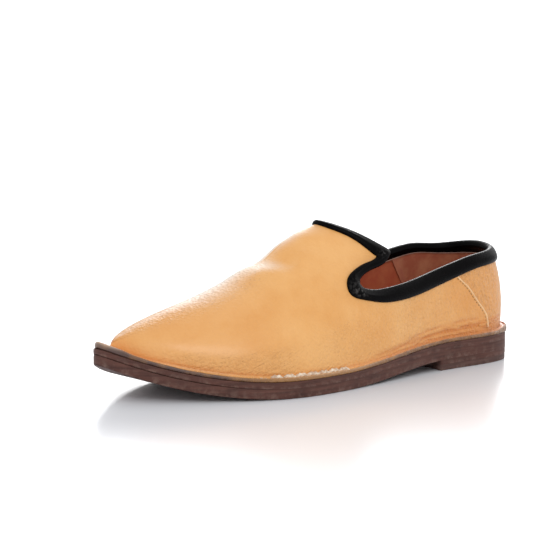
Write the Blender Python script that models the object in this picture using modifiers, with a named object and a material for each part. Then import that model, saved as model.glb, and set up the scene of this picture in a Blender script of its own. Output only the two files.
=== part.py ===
"""Slip-on shoe, left foot: a soft upper turned out over a thin flat sole with a low stacked heel.

The frame is +Z up, the toe toward -Y and the lateral side toward +X. The origin is on the floor, at the
centre of the shoe's box. Stations run from the heel (0) to the toe (1) along the outsole.
"""
import math

import bmesh
import bpy
import numpy as np

MM = 0.001

# Driving sizes
LENGTH = 268 * MM
BALL_WIDTH = 95 * MM
HEEL_WIDTH = 62 * MM
TOE_SPRING = 19 * MM
HEEL_STACK = 6.4 * MM
CONE_HEIGHT = 104 * MM
BACK_HEIGHT = 54 * MM
BACK_LEAN = 8.5 * MM
BACK_BULGE = 3 * MM
BACK_STATION = 0.30
END_BLEND = 0.5
MEDIAL_RISE = 0.033
RISE_STATIONS = 0.05, 0.24, 0.25, 0.37

OUTSOLE_THICK = 5.5 * MM
MIDSOLE_THICK = 3.0 * MM
TOP_PIECE_THICK = 3.4 * MM
INSOLE_THICK = 2.5 * MM
WALL = 1.8 * MM
FLANGE = 5 * MM
FLANGE_STEP = 1.0 * MM
FLANGE_FILLET = 1.6 * MM
FILLET_KNEE = 0.25
FILLET_LIMIT = 0.45
BINDING_SKIN = 1.1 * MM
BINDING_GAP = 0.45 * MM
BINDING_PLUMP = 0.25 * MM
BINDING_TURN = 2.4 * MM
RIM_SLACK = 0.75 * MM
GAP = 0.3 * MM
EDGE_ROUND = 0.7 * MM
HEEL_ROUND = 0.42 * MM
BEVEL_FROM = 50

HEEL_STATION = 0.245
BREAST_HOLLOW = 3 * MM
LIFT_INSET = 0.3 * MM
TOP_PIECE_INSET = 0.5 * MM
WAIST_FROM, WAIST_TO = 0.19, 0.55
SPRING_FROM, SPRING_POWER = 0.65, 2.5
UNDER_BINDING = 0.97, 0.62

HALF_COLUMNS = 48
WALL_ROWS = 9
SOLE_STATIONS = 38
HEEL_STATIONS = 9
HEEL_STRIPS = 6
RIM_SAMPLES = 600
RIM_AVERAGE = 25
BEND_PULL = 5.5 * MM
RELAX_ROUNDS = 1500
RELAX_SHARE = 0.7
TABLE_SAMPLES = 400
SMALL_STEP = 1e-3

# Outline of the sole: station, half width, the size it is a share of, centre (share of BALL_WIDTH)
OUTLINE = [
    (0.00, 0.000, HEEL_WIDTH, 0.008),
    (0.02, 0.305, HEEL_WIDTH, 0.008),
    (0.06, 0.438, HEEL_WIDTH, 0.002),
    (0.13, 0.500, HEEL_WIDTH, -0.004),
    (0.25, 0.502, HEEL_WIDTH, 0.014),
    (0.42, 0.358, BALL_WIDTH, 0.076),
    (0.55, 0.431, BALL_WIDTH, 0.067),
    (0.65, 0.484, BALL_WIDTH, 0.032),
    (0.74, 0.475, BALL_WIDTH, -0.014),
    (0.84, 0.379, BALL_WIDTH, -0.072),
    (0.93, 0.232, BALL_WIDTH, -0.116),
    (0.98, 0.108, BALL_WIDTH, -0.139),
    (1.00, 0.000, BALL_WIDTH, -0.145),
]

# Cross sections of the upper: station, ridge height (share of CONE_HEIGHT), ridge offset (share of
# BALL_WIDTH), lean of the wall, rise of the wall, fullness of the crown, flange (share of FLANGE)
SECTIONS = [
    (0.00, 1.00, 0.000, 0.00, 0.55, 0.45, 0.65),
    (0.10, 1.00, 0.000, 0.02, 0.55, 0.45, 0.65),
    (0.25, 0.95, 0.010, 0.05, 0.54, 0.38, 0.60),
    (0.40, 0.760, 0.010, 0.07, 0.52, 0.36, 0.60),
    (0.50, 0.687, -0.005, 0.06, 0.50, 0.40, 0.80),
    (0.60, 0.562, -0.030, 0.03, 0.48, 0.44, 1.00),
    (0.70, 0.438, -0.060, 0.02, 0.48, 0.48, 1.00),
    (0.80, 0.327, -0.090, 0.00, 0.50, 0.54, 1.00),
    (0.90, 0.200, -0.120, 0.00, 0.55, 0.60, 1.10),
    (0.96, 0.100, -0.137, 0.00, 0.60, 0.62, 1.40),
    (1.00, 0.000, -0.145, 0.00, 0.60, 0.62, 1.70),
]

# The collar from the back to the middle of the vamp: station and girth of the rim, station and girth
# of the binding's lower edge (girth is 0 at the sole and 1 on the ridge)
COLLAR = [
    (0.000, 0.300, 0.000, 0.248),
    (0.084, 0.297, 0.080, 0.245),
    (0.136, 0.284, 0.133, 0.231),
    (0.207, 0.268, 0.206, 0.209),
    (0.275, 0.270, 0.278, 0.204),
    (0.343, 0.294, 0.350, 0.225),
    (0.400, 0.326, 0.411, 0.263),
    (0.447, 0.362, 0.466, 0.319),
    (0.464, 0.403, 0.499, 0.400),
    (0.461, 0.424, 0.493, 0.457),
    (0.450, 0.439, 0.468, 0.489),
    (0.417, 0.446, 0.426, 0.494),
    (0.380, 0.445, 0.404, 0.496),
    (0.365, 0.467, 0.402, 0.501),
    (0.373, 0.515, 0.404, 0.507),
    (0.393, 0.589, 0.416, 0.556),
    (0.424, 0.718, 0.447, 0.684),
    (0.452, 0.862, 0.481, 0.845),
    (0.461, 1.000, 0.491, 1.000),
]

# Section across the binding: the face it lies on (1 outer, -1 inner), share of the band's width, depth
# below the rim (share of BINDING_TURN), height (share of BINDING_SKIN + BINDING_GAP), plumpness (share
# of BINDING_PLUMP)
BINDING = [
    (1, 1.00, 0.00, 1.000, 0.0),
    (1, 0.62, 0.00, 1.000, 1.0),
    (1, 0.00, 1.00, 1.000, 0.8),
    (1, 0.00, 0.42, 1.000, -0.2),
    (1, 0.00, 0.00, 0.065, 0.0),
    (-1, 0.00, 0.00, 0.065, 0.0),
    (-1, 0.00, 0.42, 1.000, -0.2),
    (-1, 0.00, 1.00, 1.000, 0.8),
    (-1, 0.78, 0.00, 1.000, 0.0),
]

COLOURS = {
    "upper": ((0.80, 0.45, 0.17, 1), 0.5),
    "collar_binding": ((0.012, 0.012, 0.014, 1), 0.45),
    "insole": ((0.30, 0.10, 0.05, 1), 0.6),
    "midsole": ((0.13, 0.055, 0.04, 1), 0.55),
    "outsole": ((0.10, 0.045, 0.034, 1), 0.6),
    "heel_lift": ((0.10, 0.045, 0.034, 1), 0.6),
    "heel_top_piece": ((0.14, 0.07, 0.055, 1), 0.7),
}


# Curves through the tables
def spline(knots, values, at):
    """A natural cubic spline through the knots, read at each value of at."""
    knots, values, at = (np.asarray(v, float) for v in (knots, values, at))
    step = np.diff(knots)
    count = len(knots)
    matrix = np.eye(count)
    rest = np.zeros(count)
    for i in range(1, count - 1):
        matrix[i, i - 1 : i + 2] = step[i - 1], 2 * (step[i - 1] + step[i]), step[i]
        slopes = (values[i + 1] - values[i]) / step[i], (values[i] - values[i - 1]) / step[i - 1]
        rest[i] = 3 * (slopes[0] - slopes[1])
    bend = np.linalg.solve(matrix, rest)
    i = np.clip(np.searchsorted(knots, at) - 1, 0, count - 2)
    cubic = (bend[i + 1] - bend[i]) / (3 * step[i])
    slope = (values[i + 1] - values[i]) / step[i] - step[i] * (2 * bend[i] + bend[i + 1]) / 3
    t = at - knots[i]
    return values[i] + slope * t + bend[i] * t**2 + cubic * t**3


def smooth(t):
    """0 to 1 with level ends."""
    t = np.clip(t, 0, 1)
    return t * t * (3 - 2 * t)


def turn(station):
    """The angle of a station: 0 at the heel and pi at the toe, so that both ends come out round."""
    return np.arccos(1 - 2 * np.clip(station, 0, 1))


def station(angle):
    """The station of an angle."""
    return (1 - np.cos(angle)) / 2


def column(table, index, angle, size=1.0):
    """One column of a table along the shoe, times a size."""
    return spline(turn([row[0] for row in table]), [row[index] * size for row in table], angle)


# The sole's outline and heights
def raw_outline(angle):
    """Centre and half width of the sole before it is centred on the origin."""
    half = spline(turn([row[0] for row in OUTLINE]), [row[1] * row[2] for row in OUTLINE], angle)
    return column(OUTLINE, 3, angle, BALL_WIDTH), half


def outline_middle():
    """Middle of the sole's box across the shoe."""
    centre, half = raw_outline(np.linspace(0, math.pi, TABLE_SAMPLES))
    return ((centre + half).max() + (centre - half).min()) / 2


MIDDLE = outline_middle()


def outline(angle, side):
    """(x, y) of the sole's edge, side +1 lateral and -1 medial."""
    centre, half = raw_outline(angle)
    return centre + side * half - MIDDLE, LENGTH * (0.5 - station(angle))


def under(at):
    """Height of the outsole's underside: up on the heel, down through the waist, up at the toe."""
    waist = HEEL_STACK * (1 - smooth((at - WAIST_FROM) / (WAIST_TO - WAIST_FROM)))
    return waist + TOE_SPRING * np.clip((at - SPRING_FROM) / (1 - SPRING_FROM), 0, 1) ** SPRING_POWER


def midsole_top(at):
    """Height of the face that the upper is stitched down to, with the gap under it."""
    return under(at) + OUTSOLE_THICK + GAP + MIDSOLE_THICK + GAP


def flange_top(at):
    """Height of the flange's top face, its thickness square to the slope of the midsole."""
    rise = midsole_top(at + SMALL_STEP) - midsole_top(at - SMALL_STEP)
    slope = rise / (2 * SMALL_STEP * LENGTH)
    return midsole_top(at) + WALL * np.hypot(1, slope)


def loop_of(count):
    """Angles and sides once round the sole, from the heel along the lateral side."""
    half = np.linspace(0, math.pi, count + 1)
    side = np.concatenate([np.ones(count + 1), -np.ones(count - 1)])
    return np.concatenate([half, half[-2:0:-1]]), side


def inset_loop(count, inset):
    """The sole's outline moved inward by inset, a number or one for each point."""
    angle, side = loop_of(count)
    points = np.stack(outline(angle, side), 1)
    ahead = np.roll(points, -1, 0) - np.roll(points, 1, 0)
    ahead /= np.linalg.norm(ahead, axis=1)[:, None]
    inward = np.stack([ahead[:, 1], -ahead[:, 0]], 1)
    return points + inward * np.broadcast_to(inset, len(points))[:, None]


# The upper's outer face
class Feather:
    """The line where the wall of the upper meets its flange, as one curve for each side."""

    def __init__(self):
        count = TABLE_SAMPLES
        angle, _ = loop_of(count)
        loop = inset_loop(count, column(SECTIONS, 6, angle, FLANGE))
        self.angle = angle[: count + 1]
        self.sides = {1: loop[: count + 1], -1: np.vstack([loop[:1], loop[: count - 1 : -1]])}

    def at(self, angle, side):
        """(x, y) of the feather line."""
        found = []
        for axis in (0, 1):
            lateral = np.interp(angle, self.angle, self.sides[1][:, axis])
            medial = np.interp(angle, self.angle, self.sides[-1][:, axis])
            found.append(np.where(side > 0, lateral, medial))
        return found


FEATHER = Feather()


def face(angle, side, girth):
    """A point of the upper's outer face; girth is 0 at the feather line and 1 on the ridge."""
    angle, side, girth = np.broadcast_arrays(angle, side, girth)
    foot_x, foot_y = FEATHER.at(angle, side)
    lateral = FEATHER.at(angle, np.ones_like(angle))
    medial = FEATHER.at(angle, -np.ones_like(angle))
    middle = (lateral[0] + medial[0]) / 2
    away = smooth(np.minimum(angle, math.pi - angle) / END_BLEND)
    ridge_x = middle + (column(SECTIONS, 2, angle, BALL_WIDTH) - MIDDLE - middle) * away
    ridge_y = (lateral[1] + medial[1]) / 2
    height = column(SECTIONS, 1, angle, CONE_HEIGHT)
    low = flange_top(station(angle))
    left = 1 - girth
    first, second, third, last = left**3, 3 * girth * left**2, 3 * girth**2 * left, girth**3
    lean = foot_x + side * column(SECTIONS, 3, angle) * height
    crown = ridge_x + (foot_x - ridge_x) * column(SECTIONS, 5, angle)
    x = first * foot_x + second * lean + third * crown + last * ridge_x
    z = low + height * (second * column(SECTIONS, 4, angle) + third + last)
    y = foot_y + (ridge_y - foot_y) * smooth(girth)
    rise = (z - low) / BACK_HEIGHT
    fade = np.clip(1 - station(angle) / BACK_STATION, 0, 1) ** 2
    y = y + fade * (BACK_BULGE * np.sin(math.pi * np.clip(rise, 0, 1)) - BACK_LEAN * rise**2)
    return np.stack([x, y, z], -1)


def face_normal(angle, side, girth):
    """The outward normal of the upper's outer face."""
    step = SMALL_STEP
    inside = np.clip(girth, step, 1 - step)
    angle = np.clip(angle, step, math.pi - step)
    along = face(angle + step, side, inside) - face(angle - step, side, inside)
    across = face(angle, side, inside + step) - face(angle, side, inside - step)
    normal = np.cross(across, along) * np.asarray(side)[..., None]
    return normal / np.linalg.norm(normal, axis=-1, keepdims=True)


# The collar and the grid between it and the sole
def collar_rows(side):
    """The collar's table for one side, with two mirrored rows past each end."""
    rows = np.array(COLLAR)
    angle = turn(rows[:, [0, 2]])
    girth = rows[:, [1, 3]]
    if side < 0:
        start, full, fall, end = RISE_STATIONS
        at = rows[:, [0, 2]]
        swell = smooth((at - start) / (full - start)) * smooth((end - at) / (end - fall))
        girth = girth + MEDIAL_RISE * swell
    both = np.stack([angle[:, 0], girth[:, 0], angle[:, 1], girth[:, 1]], 1)
    back = both[2:0:-1] * [-1, 1, -1, 1]
    front = both[-2:-4:-1] * [1, -1, 1, -1] + [0, 2, 0, 2]
    return np.vstack([back, both, front])


def collar_curve(side):
    """Knots along the rim and the rows that they carry."""
    rows = collar_rows(side)
    knots = np.concatenate([[0], np.cumsum(np.hypot(np.diff(rows[:, 0]), np.diff(rows[:, 1])))])
    return knots, rows


def collar_stations(side, count):
    """Positions along the rim, closer together where it bends."""
    knots, rows = collar_curve(side)
    fine = np.linspace(knots[2], knots[-3], RIM_SAMPLES)
    path = np.stack([spline(knots, rows[:, 0], fine), spline(knots, rows[:, 1], fine)], 1)
    points = face(path[:, 0], float(side), path[:, 1])
    step = np.diff(points, axis=0)
    length = np.linalg.norm(step, axis=1)
    ahead = step / length[:, None]
    bend = np.concatenate([[0], np.linalg.norm(np.diff(ahead, axis=0), axis=1)])
    weight = length + BEND_PULL * np.convolve(bend, np.ones(RIM_AVERAGE) / RIM_AVERAGE, "same")
    reach = np.concatenate([[0], np.cumsum(weight)])
    return np.interp(np.linspace(0, reach[-1], count + 1), reach, fine)


def collar_at(side, along, share, depth):
    """Angle and girth on the collar band, a share of the way from the rim to its edge plus a depth.

    The depth is measured square to the rim.
    """
    knots, rows = collar_curve(side)

    def line(at, first):
        return [spline(knots, rows[:, first + k], at) for k in (0, 1)]

    def point(at, first):
        angle, girth = line(at, first)
        return face(angle, float(side), girth)

    ahead = point(along + SMALL_STEP, 0) - point(along - SMALL_STEP, 0)
    ahead /= np.linalg.norm(ahead, axis=-1, keepdims=True)
    width = point(along, 2) - point(along, 0)
    width -= ahead * (width * ahead).sum(-1, keepdims=True)
    across = share + depth / np.linalg.norm(width, axis=-1)
    found = []
    for rim, edge, most in zip(line(along, 0), line(along, 2), (math.pi, 1)):
        found.append(np.clip(rim + (edge - rim) * across, 0, most))
    return found


def spread():
    """Length along the feather line against angle, and the girth's length against angle."""
    angle = np.linspace(0, math.pi, TABLE_SAMPLES)
    foot = np.stack(FEATHER.at(angle, np.ones_like(angle)), 1)
    along = np.concatenate([[0], np.cumsum(np.linalg.norm(np.diff(foot, axis=0), axis=1))])
    return angle, along, np.hypot(column(SECTIONS, 1, angle, CONE_HEIGHT), raw_outline(angle)[1])


def relaxed_grid(side, columns, rows):
    """Angle and girth on a grid from the feather line to the rim that bends round the notch.

    The grid is laid out in a flat pattern of the leather and smoothed there until its lines, which may
    cross at first, lie apart (Winslow's equations).
    """
    angle, along, wide = spread()

    def flat(a, g):
        return np.stack([np.interp(a, angle, along), np.interp(a, angle, wide) * g], -1)

    grid = np.zeros((columns + 1, rows + 1, 2))
    share_i = np.linspace(0, 1, columns + 1)
    share_j = np.linspace(0, 1, rows + 1)
    top = np.stack(collar_at(side, collar_stations(side, columns), UNDER_BINDING[0], 0), 1)
    foot = math.pi * share_i
    grid[:, 0] = flat(foot, 0 * foot)
    grid[:, -1] = flat(top[:, 0], top[:, 1])
    grid[0] = flat(0 * share_j, top[0, 1] * share_j)
    ridge = math.pi + (top[-1, 0] - math.pi) * share_j
    grid[-1] = flat(ridge, np.ones_like(ridge))
    u, v = share_i[:, None, None], share_j[None, :, None]
    edges = (1 - v) * grid[:, :1] + v * grid[:, -1:] + (1 - u) * grid[:1] + u * grid[-1:]
    corners = (1 - u) * (1 - v) * grid[0, 0] + u * (1 - v) * grid[-1, 0]
    corners = corners + (1 - u) * v * grid[0, -1] + u * v * grid[-1, -1]
    grid[1:-1, 1:-1] = (edges - corners)[1:-1, 1:-1]
    for _ in range(RELAX_ROUNDS):
        di = (grid[2:, 1:-1] - grid[:-2, 1:-1]) / 2
        dj = (grid[1:-1, 2:] - grid[1:-1, :-2]) / 2
        alpha = (dj**2).sum(-1, keepdims=True)
        beta = (di * dj).sum(-1, keepdims=True)
        gamma = (di**2).sum(-1, keepdims=True)
        cross = (grid[2:, 2:] - grid[2:, :-2] - grid[:-2, 2:] + grid[:-2, :-2]) / 4
        total = alpha * (grid[2:, 1:-1] + grid[:-2, 1:-1]) + gamma * (grid[1:-1, 2:] + grid[1:-1, :-2])
        new = (total - 2 * beta * cross) / (2 * (alpha + gamma) + 1e-12)
        grid[1:-1, 1:-1] += RELAX_SHARE * (new - grid[1:-1, 1:-1])
    a = np.interp(grid[..., 0], along, angle)
    g = grid[..., 1] / np.maximum(np.interp(a, angle, wide), 1e-6)
    g[:, 0] = 0
    a[-1] = ridge
    g[-1, 1:] = 1
    a[:, 0] = foot
    a[:, -1], g[:, -1] = top[:, 0], top[:, 1]
    return np.clip(a, 0, math.pi), np.clip(g, 0, 1)


def collar_line(share, depth):
    """Side, angles and girths of a line along the collar, for both sides."""
    stations = {side: collar_stations(side, HALF_COLUMNS) for side in (1, -1)}
    return [(side, *collar_at(side, along, share, depth)) for side, along in stations.items()]


def around(halves, off=0.0):
    """One closed ring of points on the upper's face, or off it, from its lateral and medial halves."""
    points = []
    for side, angle, girth in halves:
        points.append(face(angle, float(side), girth) + face_normal(angle, float(side), girth) * off)
    return np.vstack([points[0], points[1][-2:0:-1]])


def upper_rings():
    """Rings of points from the flange's outer edge, over its fillet and up the wall to the rim."""
    halves = {side: relaxed_grid(side, HALF_COLUMNS, WALL_ROWS) for side in (1, -1)}
    wall = []
    for j in range(WALL_ROWS + 1):
        wall.append(around([(side, grid[0][:, j], grid[1][:, j]) for side, grid in halves.items()]))
    for share, depth in ((UNDER_BINDING[1], 0), (0, BINDING_SKIN + BINDING_GAP + RIM_SLACK)):
        wall.append(around(collar_line(share, depth)))
    angle, _ = loop_of(HALF_COLUMNS)
    edge = inset_loop(HALF_COLUMNS, FLANGE_STEP)
    foot = wall[0][:, :2]
    low = flange_top(station(angle))
    out = edge - foot
    out /= np.linalg.norm(out, axis=1)[:, None]
    rings = [np.column_stack([edge, flange_top(0.5 - edge[:, 1] / LENGTH)])]
    fillet = foot + out * FLANGE_FILLET
    rings.append(np.column_stack([fillet, flange_top(0.5 - fillet[:, 1] / LENGTH)]))
    knee = FLANGE_FILLET * FILLET_KNEE
    rings.append(np.column_stack([foot + out * knee, low + knee]))
    climb = wall[1][:, 2] - low
    lift = np.minimum(FLANGE_FILLET, FILLET_LIMIT * climb)
    wall[0] = wall[0] + (wall[1] - wall[0]) * (lift / np.maximum(climb, 1e-6))[:, None]
    return rings + wall


# Building
def new_object(name, mesh, collection):
    """An object of the mesh with its own material, in the collection."""
    item = bpy.data.objects.new(name, mesh)
    collection.objects.link(item)
    colour, rough = COLOURS[name]
    material = bpy.data.materials.new(name)
    material.use_nodes = True
    shader = material.node_tree.nodes["Principled BSDF"]
    shader.inputs["Base Color"].default_value = colour
    shader.inputs["Roughness"].default_value = rough
    mesh.materials.append(material)
    mesh.shade_smooth()
    return item


def solidify(item, thickness):
    """Gives an open surface its thickness on the side away from its normals."""
    modifier = item.modifiers.new("Thickness", "SOLIDIFY")
    modifier.thickness = thickness
    modifier.offset = -1
    modifier.use_even_offset = True
    modifier.use_quality_normals = True


def bevel(item, width):
    """Rounds the rims of a flat piece."""
    modifier = item.modifiers.new("Round edges", "BEVEL")
    modifier.width = width
    modifier.segments = 1
    modifier.limit_method = "ANGLE"
    modifier.angle_limit = math.radians(BEVEL_FROM)


def sheet_of_rings(name, rings):
    """An open surface through closed rings of as many points each."""
    mesh = bpy.data.meshes.new(name)
    count = len(rings[0])
    points = [tuple(point) for ring in rings for point in ring]
    faces = []
    for j in range(len(rings) - 1):
        this, above = j * count, (j + 1) * count
        for i in range(count):
            k = (i + 1) % count
            faces.append((this + i, above + i, above + k, this + k))
    mesh.from_pydata(points, [], faces)
    mesh.update()
    return mesh


def strips(lateral, medial, count, hollow):
    """Points in rows from the lateral edge to the medial one; the last rows bow back by hollow."""
    rows = []
    across = np.linspace(0, 1, count + 1)[:, None]
    for n, (right, left) in enumerate(zip(lateral, medial)):
        if np.linalg.norm(right - left) < 1e-6:
            rows.append(right[None])
            continue
        row = right + (left - right) * across
        bow = smooth(2 * n / (len(lateral) - 1) - 1)
        row[:, 1] += 4 * hollow * bow * (across * (1 - across))[:, 0]
        rows.append(row)
    return rows


def slab(name, rows, height_low, height_high):
    """A plate through rows of points, filled in strips and drawn up from its underside to its top."""
    sheet = bmesh.new()
    made = []
    for row in rows:
        made.append([sheet.verts.new((x, y, height_low(0.5 - y / LENGTH))) for x, y in row])
    count = max(len(row) for row in made)
    made = [row * count if len(row) == 1 else row for row in made]
    for this, ahead in zip(made, made[1:]):
        for k in range(count - 1):
            sheet.faces.new(list(dict.fromkeys([this[k], this[k + 1], ahead[k + 1], ahead[k]])))
    bmesh.ops.recalc_face_normals(sheet, faces=sheet.faces)
    drawn = bmesh.ops.extrude_face_region(sheet, geom=sheet.faces[:] + sheet.edges[:] + sheet.verts[:])
    for item in drawn["geom"]:
        if isinstance(item, bmesh.types.BMVert):
            item.co.z = height_high(0.5 - item.co.y / LENGTH)
    bmesh.ops.recalc_face_normals(sheet, faces=sheet.faces)
    mesh = bpy.data.meshes.new(name)
    sheet.to_mesh(mesh)
    sheet.free()
    return mesh


def sole_rows(inset):
    """Rows for a plate on the whole outline, moved inward by inset."""
    loop = inset_loop(SOLE_STATIONS, inset)
    medial = np.vstack([loop[:1], loop[: SOLE_STATIONS - 1 : -1]])
    return strips(loop[: SOLE_STATIONS + 1], medial, 1, 0)


def heel_rows(inset):
    """Rows for a heel layer: the sole's outline from the back to the breast, which is hollowed."""
    fine = SOLE_STATIONS * 4
    loop = inset_loop(fine, inset)
    known = np.linspace(0, math.pi, fine + 1)
    angle = np.linspace(0, turn(HEEL_STATION), HEEL_STATIONS + 1)
    edges = []
    for line in (loop[: fine + 1], np.vstack([loop[:1], loop[: fine - 1 : -1]])):
        edges.append(np.stack([np.interp(angle, known, line[:, k]) for k in (0, 1)], 1))
    return strips(*edges, HEEL_STRIPS, BREAST_HOLLOW)


def outsole_top(at):
    """Height of the outsole's top face."""
    return under(at) + OUTSOLE_THICK


def make_sole(collection):
    """Outsole, midsole, insole, heel lift and the heel's top piece."""
    angle, _ = loop_of(SOLE_STATIONS)
    inner = column(SECTIONS, 6, angle, FLANGE) + WALL + 2 * GAP

    def midsole_under(at):
        return outsole_top(at) + GAP

    def midsole_over(at):
        return midsole_under(at) + MIDSOLE_THICK

    def insole_top(at):
        return midsole_top(at) + INSOLE_THICK

    def lift_under(at):
        return TOP_PIECE_THICK + GAP

    def lift_over(at):
        return under(at) - GAP

    def on_floor(at):
        return 0.0

    def top_piece_over(at):
        return TOP_PIECE_THICK

    plates = [
        ("outsole", sole_rows(0.0), EDGE_ROUND, under, outsole_top),
        ("midsole", sole_rows(0.0), EDGE_ROUND, midsole_under, midsole_over),
        ("insole", sole_rows(inner), 0.0, midsole_top, insole_top),
        ("heel_lift", heel_rows(LIFT_INSET), HEEL_ROUND, lift_under, lift_over),
        ("heel_top_piece", heel_rows(TOP_PIECE_INSET), HEEL_ROUND, on_floor, top_piece_over),
    ]
    for name, rows, round_off, low, high in plates:
        item = new_object(name, slab(name, rows, low, high), collection)
        if round_off:
            bevel(item, round_off)


def make_upper(collection):
    """The upper: flange, wall and vamp as one skin of even thickness."""
    item = new_object("upper", sheet_of_rings("upper", upper_rings()), collection)
    solidify(item, WALL)


def make_binding(collection):
    """The strip of leather folded over the rim."""
    rings = []
    for side, share, turned, lift, plump in BINDING:
        off = lift * (BINDING_SKIN + BINDING_GAP) + plump * BINDING_PLUMP
        line = collar_line(share, turned * BINDING_TURN)
        rings.append(around(line, off if side > 0 else -WALL - off))
    item = new_object("collar_binding", sheet_of_rings("collar_binding", rings), collection)
    solidify(item, BINDING_SKIN)


def main():
    """Clears the scene and models the shoe."""
    for item in list(bpy.data.objects):
        bpy.data.objects.remove(item)
    collection = bpy.data.collections.new("slip_on_shoe")
    bpy.context.scene.collection.children.link(collection)
    make_sole(collection)
    make_upper(collection)
    make_binding(collection)


main()
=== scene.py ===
"""Slip-on shoe, left foot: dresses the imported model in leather, thread and edge stain, in a plain studio."""
import logging
import math
from collections.abc import Callable
from dataclasses import dataclass, field
from enum import Enum
from typing import Any

import bmesh
import bpy
import numpy as np
from mathutils import Matrix, Vector, noise


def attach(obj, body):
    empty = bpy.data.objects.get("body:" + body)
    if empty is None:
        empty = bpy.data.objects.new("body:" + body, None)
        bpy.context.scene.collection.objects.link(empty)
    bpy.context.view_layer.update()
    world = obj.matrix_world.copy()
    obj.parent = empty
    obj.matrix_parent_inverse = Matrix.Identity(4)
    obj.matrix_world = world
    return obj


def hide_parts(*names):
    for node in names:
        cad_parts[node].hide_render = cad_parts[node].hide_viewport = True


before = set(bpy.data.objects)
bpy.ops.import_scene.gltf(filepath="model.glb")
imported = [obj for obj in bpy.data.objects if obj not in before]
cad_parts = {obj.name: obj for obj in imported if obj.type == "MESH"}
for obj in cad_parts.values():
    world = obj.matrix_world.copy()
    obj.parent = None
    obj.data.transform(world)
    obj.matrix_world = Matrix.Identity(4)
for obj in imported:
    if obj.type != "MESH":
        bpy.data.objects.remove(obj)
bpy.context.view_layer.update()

MM = 0.001
PHOTO = 550.0
LATERAL, MEDIAL = 1, -1
BOTH = {LATERAL: "lateral", MEDIAL: "medial"}
log = logging.getLogger("slip_on_shoe")


# Numbers and curves
def linear(hexed: str) -> tuple[float, ...]:
    """Turns an sRGB hex colour into a linear one.

    Args:
        hexed: six hex digits.

    Returns:
        Linear red, green, blue and an alpha of 1.
    """
    parts = (int(hexed[at : at + 2], 16) / 255 for at in (0, 2, 4))
    return (*(part / 12.92 if part <= 0.04045 else ((part + 0.055) / 1.055) ** 2.4 for part in parts), 1.0)


def smooth(t: Any) -> Any:
    """0 to 1 with level ends."""
    t = np.clip(t, 0, 1)
    return t * t * (3 - 2 * t)


def rise(value: Any, start: Any, width: float) -> Any:
    """0 up to a start and 1 from a width after it."""
    return smooth((value - start) / width)


def fall(value: Any, end: Any, width: float) -> Any:
    """1 until a width before an end and 0 from it."""
    return smooth((end - value) / width)


def spline(knots: Any, values: Any, at: Any) -> np.ndarray:
    """Reads a natural cubic spline.

    Args:
        knots: rising positions of the knots.
        values: a value or a row of values at each knot.
        at: where to read it.

    Returns:
        The values at each position.
    """
    knots, values, at = (np.asarray(v, float) for v in (knots, values, at))
    step = np.diff(knots)
    count = len(knots)
    wide = step.reshape(-1, *[1] * (values.ndim - 1))
    matrix = np.eye(count)
    rest = np.zeros(values.shape)
    for i in range(1, count - 1):
        matrix[i, i - 1 : i + 2] = step[i - 1], 2 * (step[i - 1] + step[i]), step[i]
        rest[i] = 3 * ((values[i + 1] - values[i]) / step[i] - (values[i] - values[i - 1]) / step[i - 1])
    bend = np.linalg.solve(matrix, rest.reshape(count, -1)).reshape(values.shape)
    cubic = np.diff(bend, axis=0) / (3 * wide)
    slope = np.diff(values, axis=0) / wide - wide * (2 * bend[:-1] + bend[1:]) / 3
    i = np.clip(np.searchsorted(knots, at) - 1, 0, count - 2)
    t = (at - knots[i]).reshape(*at.shape, *[1] * (values.ndim - 1))
    return values[i] + slope[i] * t + bend[i] * t**2 + cubic[i] * t**3


def turn(station: Any) -> Any:
    """The angle of a station: 0 at the heel and pi at the toe."""
    return np.arccos(1 - 2 * np.clip(station, 0, 1))


def station_of(angle: Any) -> Any:
    """The station of an angle."""
    return (1 - np.cos(angle)) / 2


def unit(vectors: np.ndarray) -> np.ndarray:
    """Vectors scaled to length 1."""
    return vectors / np.maximum(np.linalg.norm(vectors, axis=-1, keepdims=True), 1e-12)


def reach_of(line: np.ndarray) -> np.ndarray:
    """Distance along a line, or along lines side by side, from the first point to each."""
    gone = np.linalg.norm(np.diff(line, axis=0), axis=-1)
    return np.concatenate([np.zeros((1, *gone.shape[1:])), np.cumsum(gone, axis=0)])


def read_line(at: Any, reach: np.ndarray, line: np.ndarray) -> np.ndarray:
    """Reads a line.

    Args:
        at: distances along it.
        reach: the distance of each of its points.
        line: its points.

    Returns:
        The points at those distances.
    """
    return np.stack([np.interp(at, reach, line[:, axis]) for axis in range(line.shape[1])], -1)


def rough_noise(points: np.ndarray, size: float, seed: float = 0.0) -> np.ndarray:
    """Smooth noise from -1 to 1 in space.

    Args:
        points: positions in metres.
        size: width of its hills in metres.
        seed: shifts the pattern.

    Returns:
        One value for each point.
    """
    shift = Vector((seed * 7.3, seed * 3.1, seed * 5.7))
    found = [noise.noise(Vector(point) / size + shift) for point in points.reshape(-1, 3)]
    return np.array(found).reshape(points.shape[:-1])


def inset_ring(ring: np.ndarray, inset: Any) -> np.ndarray:
    """A closed plan line, clockwise from above, moved inward by one distance or one for each point."""
    ahead = unit(np.roll(ring, -1, 0) - np.roll(ring, 1, 0))
    inward = np.stack([ahead[:, 1], -ahead[:, 0]], 1)
    return ring + inward * np.broadcast_to(inset, len(ring))[:, None]


def refine(grid: np.ndarray, columns: int, rows: int) -> np.ndarray:
    """A finer grid, of so many cells each way, through a coarse one."""
    for axis, count in ((0, columns), (1, rows)):
        moved = np.moveaxis(grid, axis, 0)
        last = len(moved) - 1
        moved = spline(np.arange(last + 1), moved, np.linspace(0, last, count + 1))
        grid = np.moveaxis(moved, 0, axis)
    return grid


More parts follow.
